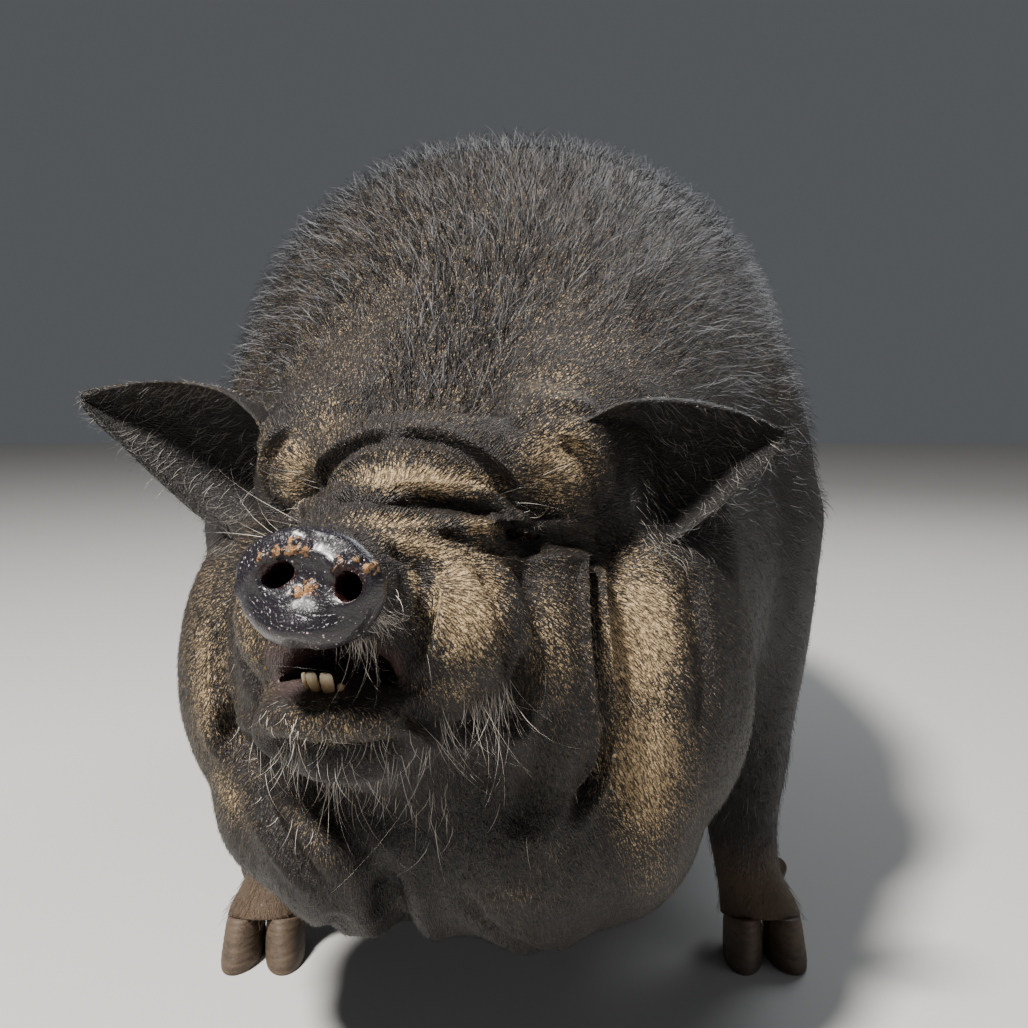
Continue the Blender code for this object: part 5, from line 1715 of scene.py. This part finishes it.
def long_hairs(name, roots, normals, direction, unwrap, rng, low, high, width, finish, rings=6):
    """Single long hairs that stand and hang along one direction, well clear of the skin."""
    count = len(roots)
    wanted = unit(unit(np.tile(direction, (count, 1))) + rng.normal(0, 0.12, (count, 3)))
    short = np.clip(0.25 - (wanted * normals).sum(axis=1), 0, None)
    wanted = unit(wanted + normals * short[:, None])
    rise = (wanted * normals).sum(axis=1)
    lies = unit(wanted - normals * rise[:, None])
    length = rng.uniform(low, high, count)
    lift = np.degrees(np.arcsin(np.clip(rise, -1, 1)))
    bend, curl = rng.uniform(-0.03, 0.07, count), rng.normal(0, 0.35, count)
    widths = np.full(count, width)
    piece = bristles(name, roots, normals, lies, unwrap, rng, length, widths, lift, bend, rings, curl)
    piece.data.materials.append(finish)
    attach(piece, "root")


pale_finish = whisker_material("whisker", (0.34, 0.29, 0.24, 1), (0.88, 0.82, 0.74, 1))
grey_finish = whisker_material("ear_hair", (0.015, 0.013, 0.012, 1), (0.46, 0.42, 0.38, 1))
skin_tree = tree_of(skin)
rng = np.random.default_rng(HAIR_SEED + 40)
for number, (place, centre, spread, direction, count, short, long, both) in enumerate(WHISKER_BEDS):
    turn = np.array(place.to_3x3()).T
    for side in (1, -1) if both else (1,):
        mirror = np.array((side, 1, 1))
        spots = np.array(centre) * mirror + rng.normal(0, 0.5, (count, 3)) * np.array(spread)
        roots, normals = nearest_roots(skin_tree, from_frame(spots, place))
        wanted = np.array(direction) * mirror @ turn
        word = {1: "left", -1: "right"}[side] if both else "middle"
        long_hairs(f"whiskers_{number}_{word}", roots, normals, wanted, head_unwrap, rng, short, long,
                   WHISKER_WIDTH, pale_finish)

head_turn = np.array(HEAD.to_3x3()).T
facing_front = hide.facing @ (np.array((0, -1, 0)) @ head_turn)
for side, word in ((1, "left"), (-1, "right")):
    angles = rng.uniform(-1, 1, LASH_COUNT)
    heights = EYE_CENTRE[2] + np.where(rng.random(LASH_COUNT) < 0.7, 0.0008, -0.0070)
    depths = np.full(LASH_COUNT, EYE_CENTRE[1] - 0.0105)
    spots = np.stack([side * (EYE_CENTRE[0] + 0.004 + 0.008 * angles), depths, heights], axis=1)
    roots, normals = nearest_roots(skin_tree, from_frame(spots, HEAD))
    ahead = np.array((side * 0.5, -1.0, -0.2)) @ head_turn
    long_hairs(f"lashes_{word}", roots, normals, ahead, head_unwrap, rng, 0.003, 0.007, LASH_WIDTH,
               grey_finish, 4)

    on_ear = ear_share(hide.centres) * (head_here[:, 0] * side > 0) > 0.3
    inner = np.where(on_ear & (facing_front > 0.0), 40000, 0) + np.where(on_ear, 6000, 0)
    roots, normals = hide.roots(inner, rng)
    down = np.array((side * 0.8, -0.5, -0.8)) @ head_turn
    long_hairs(f"ear_hair_{word}", roots, normals, down, head_unwrap, rng, 0.008, 0.017, WHISKER_WIDTH,
               grey_finish)

tail_end = (hide.centres[:, 1] > 0.520) & (hide.centres[:, 2] < 0.330)
roots, normals = hide.roots(np.where(tail_end, 90000, 0), rng)
long_hairs("tail_brush", roots, normals, np.array((0, 0, -1.0)), trunk_unwrap, rng, 0.030, 0.075,
           BRUSH_WIDTH, bristle_finish)


# The stage: a plain pale floor, light from the upper left with a weak fill and a weak rim light, and the
# camera low in front of the snout, which looks slightly down.

CAMERA_LENS = 42.02


def floor_material():
    mat, _, shader = new_finish("studio_floor")
    shader.inputs["Base Color"].default_value = (0.50, 0.49, 0.475, 1)
    shader.inputs["Roughness"].default_value = 0.9
    return mat


def soft_light(name, place, target, size, power, colour):
    lamp = bpy.data.lights.new(name, "AREA")
    lamp.shape = "DISK"
    lamp.size = size
    lamp.energy = power
    lamp.color = colour
    obj = bpy.data.objects.new(name, lamp)
    obj.location = place
    obj.rotation_euler = (Vector(target) - Vector(place)).to_track_quat("-Z", "Y").to_euler()
    bpy.context.scene.collection.objects.link(obj)


ground = bmesh.new()
bmesh.ops.create_grid(ground, x_segments=2, y_segments=2, size=6)
floor = object_from("floor", ground)
floor.data.materials.append(floor_material())

soft_light("key", (-0.95, -1.48, 2.75), (0, -0.1, 0.25), 0.45, 270, (1.0, 0.97, 0.92))
soft_light("fill", (2.2, -1.6, 1.0), (0, 0, 0.25), 1.8, 6, (0.92, 0.95, 1.0))
soft_light("rim", (0.9, 1.6, 1.9), (0, 0.1, 0.35), 1.2, 24, (0.92, 0.96, 1.0))

sky = bpy.data.worlds.new("studio")
sky.use_nodes = True
sky.node_tree.nodes["Background"].inputs["Color"].default_value = (0.78, 0.82, 0.88, 1)
sky.node_tree.nodes["Background"].inputs["Strength"].default_value = 0.12
bpy.context.scene.world = sky

lens = bpy.data.cameras.new("camera")
lens.sensor_width = 36
lens.lens = CAMERA_LENS
camera = bpy.data.objects.new("camera", lens)
camera.location = CAMERA_PLACE
camera.rotation_euler = (math.pi / 2 - CAMERA_PITCH, 0, 0)
bpy.context.scene.collection.objects.link(camera)
bpy.context.scene.camera = camera
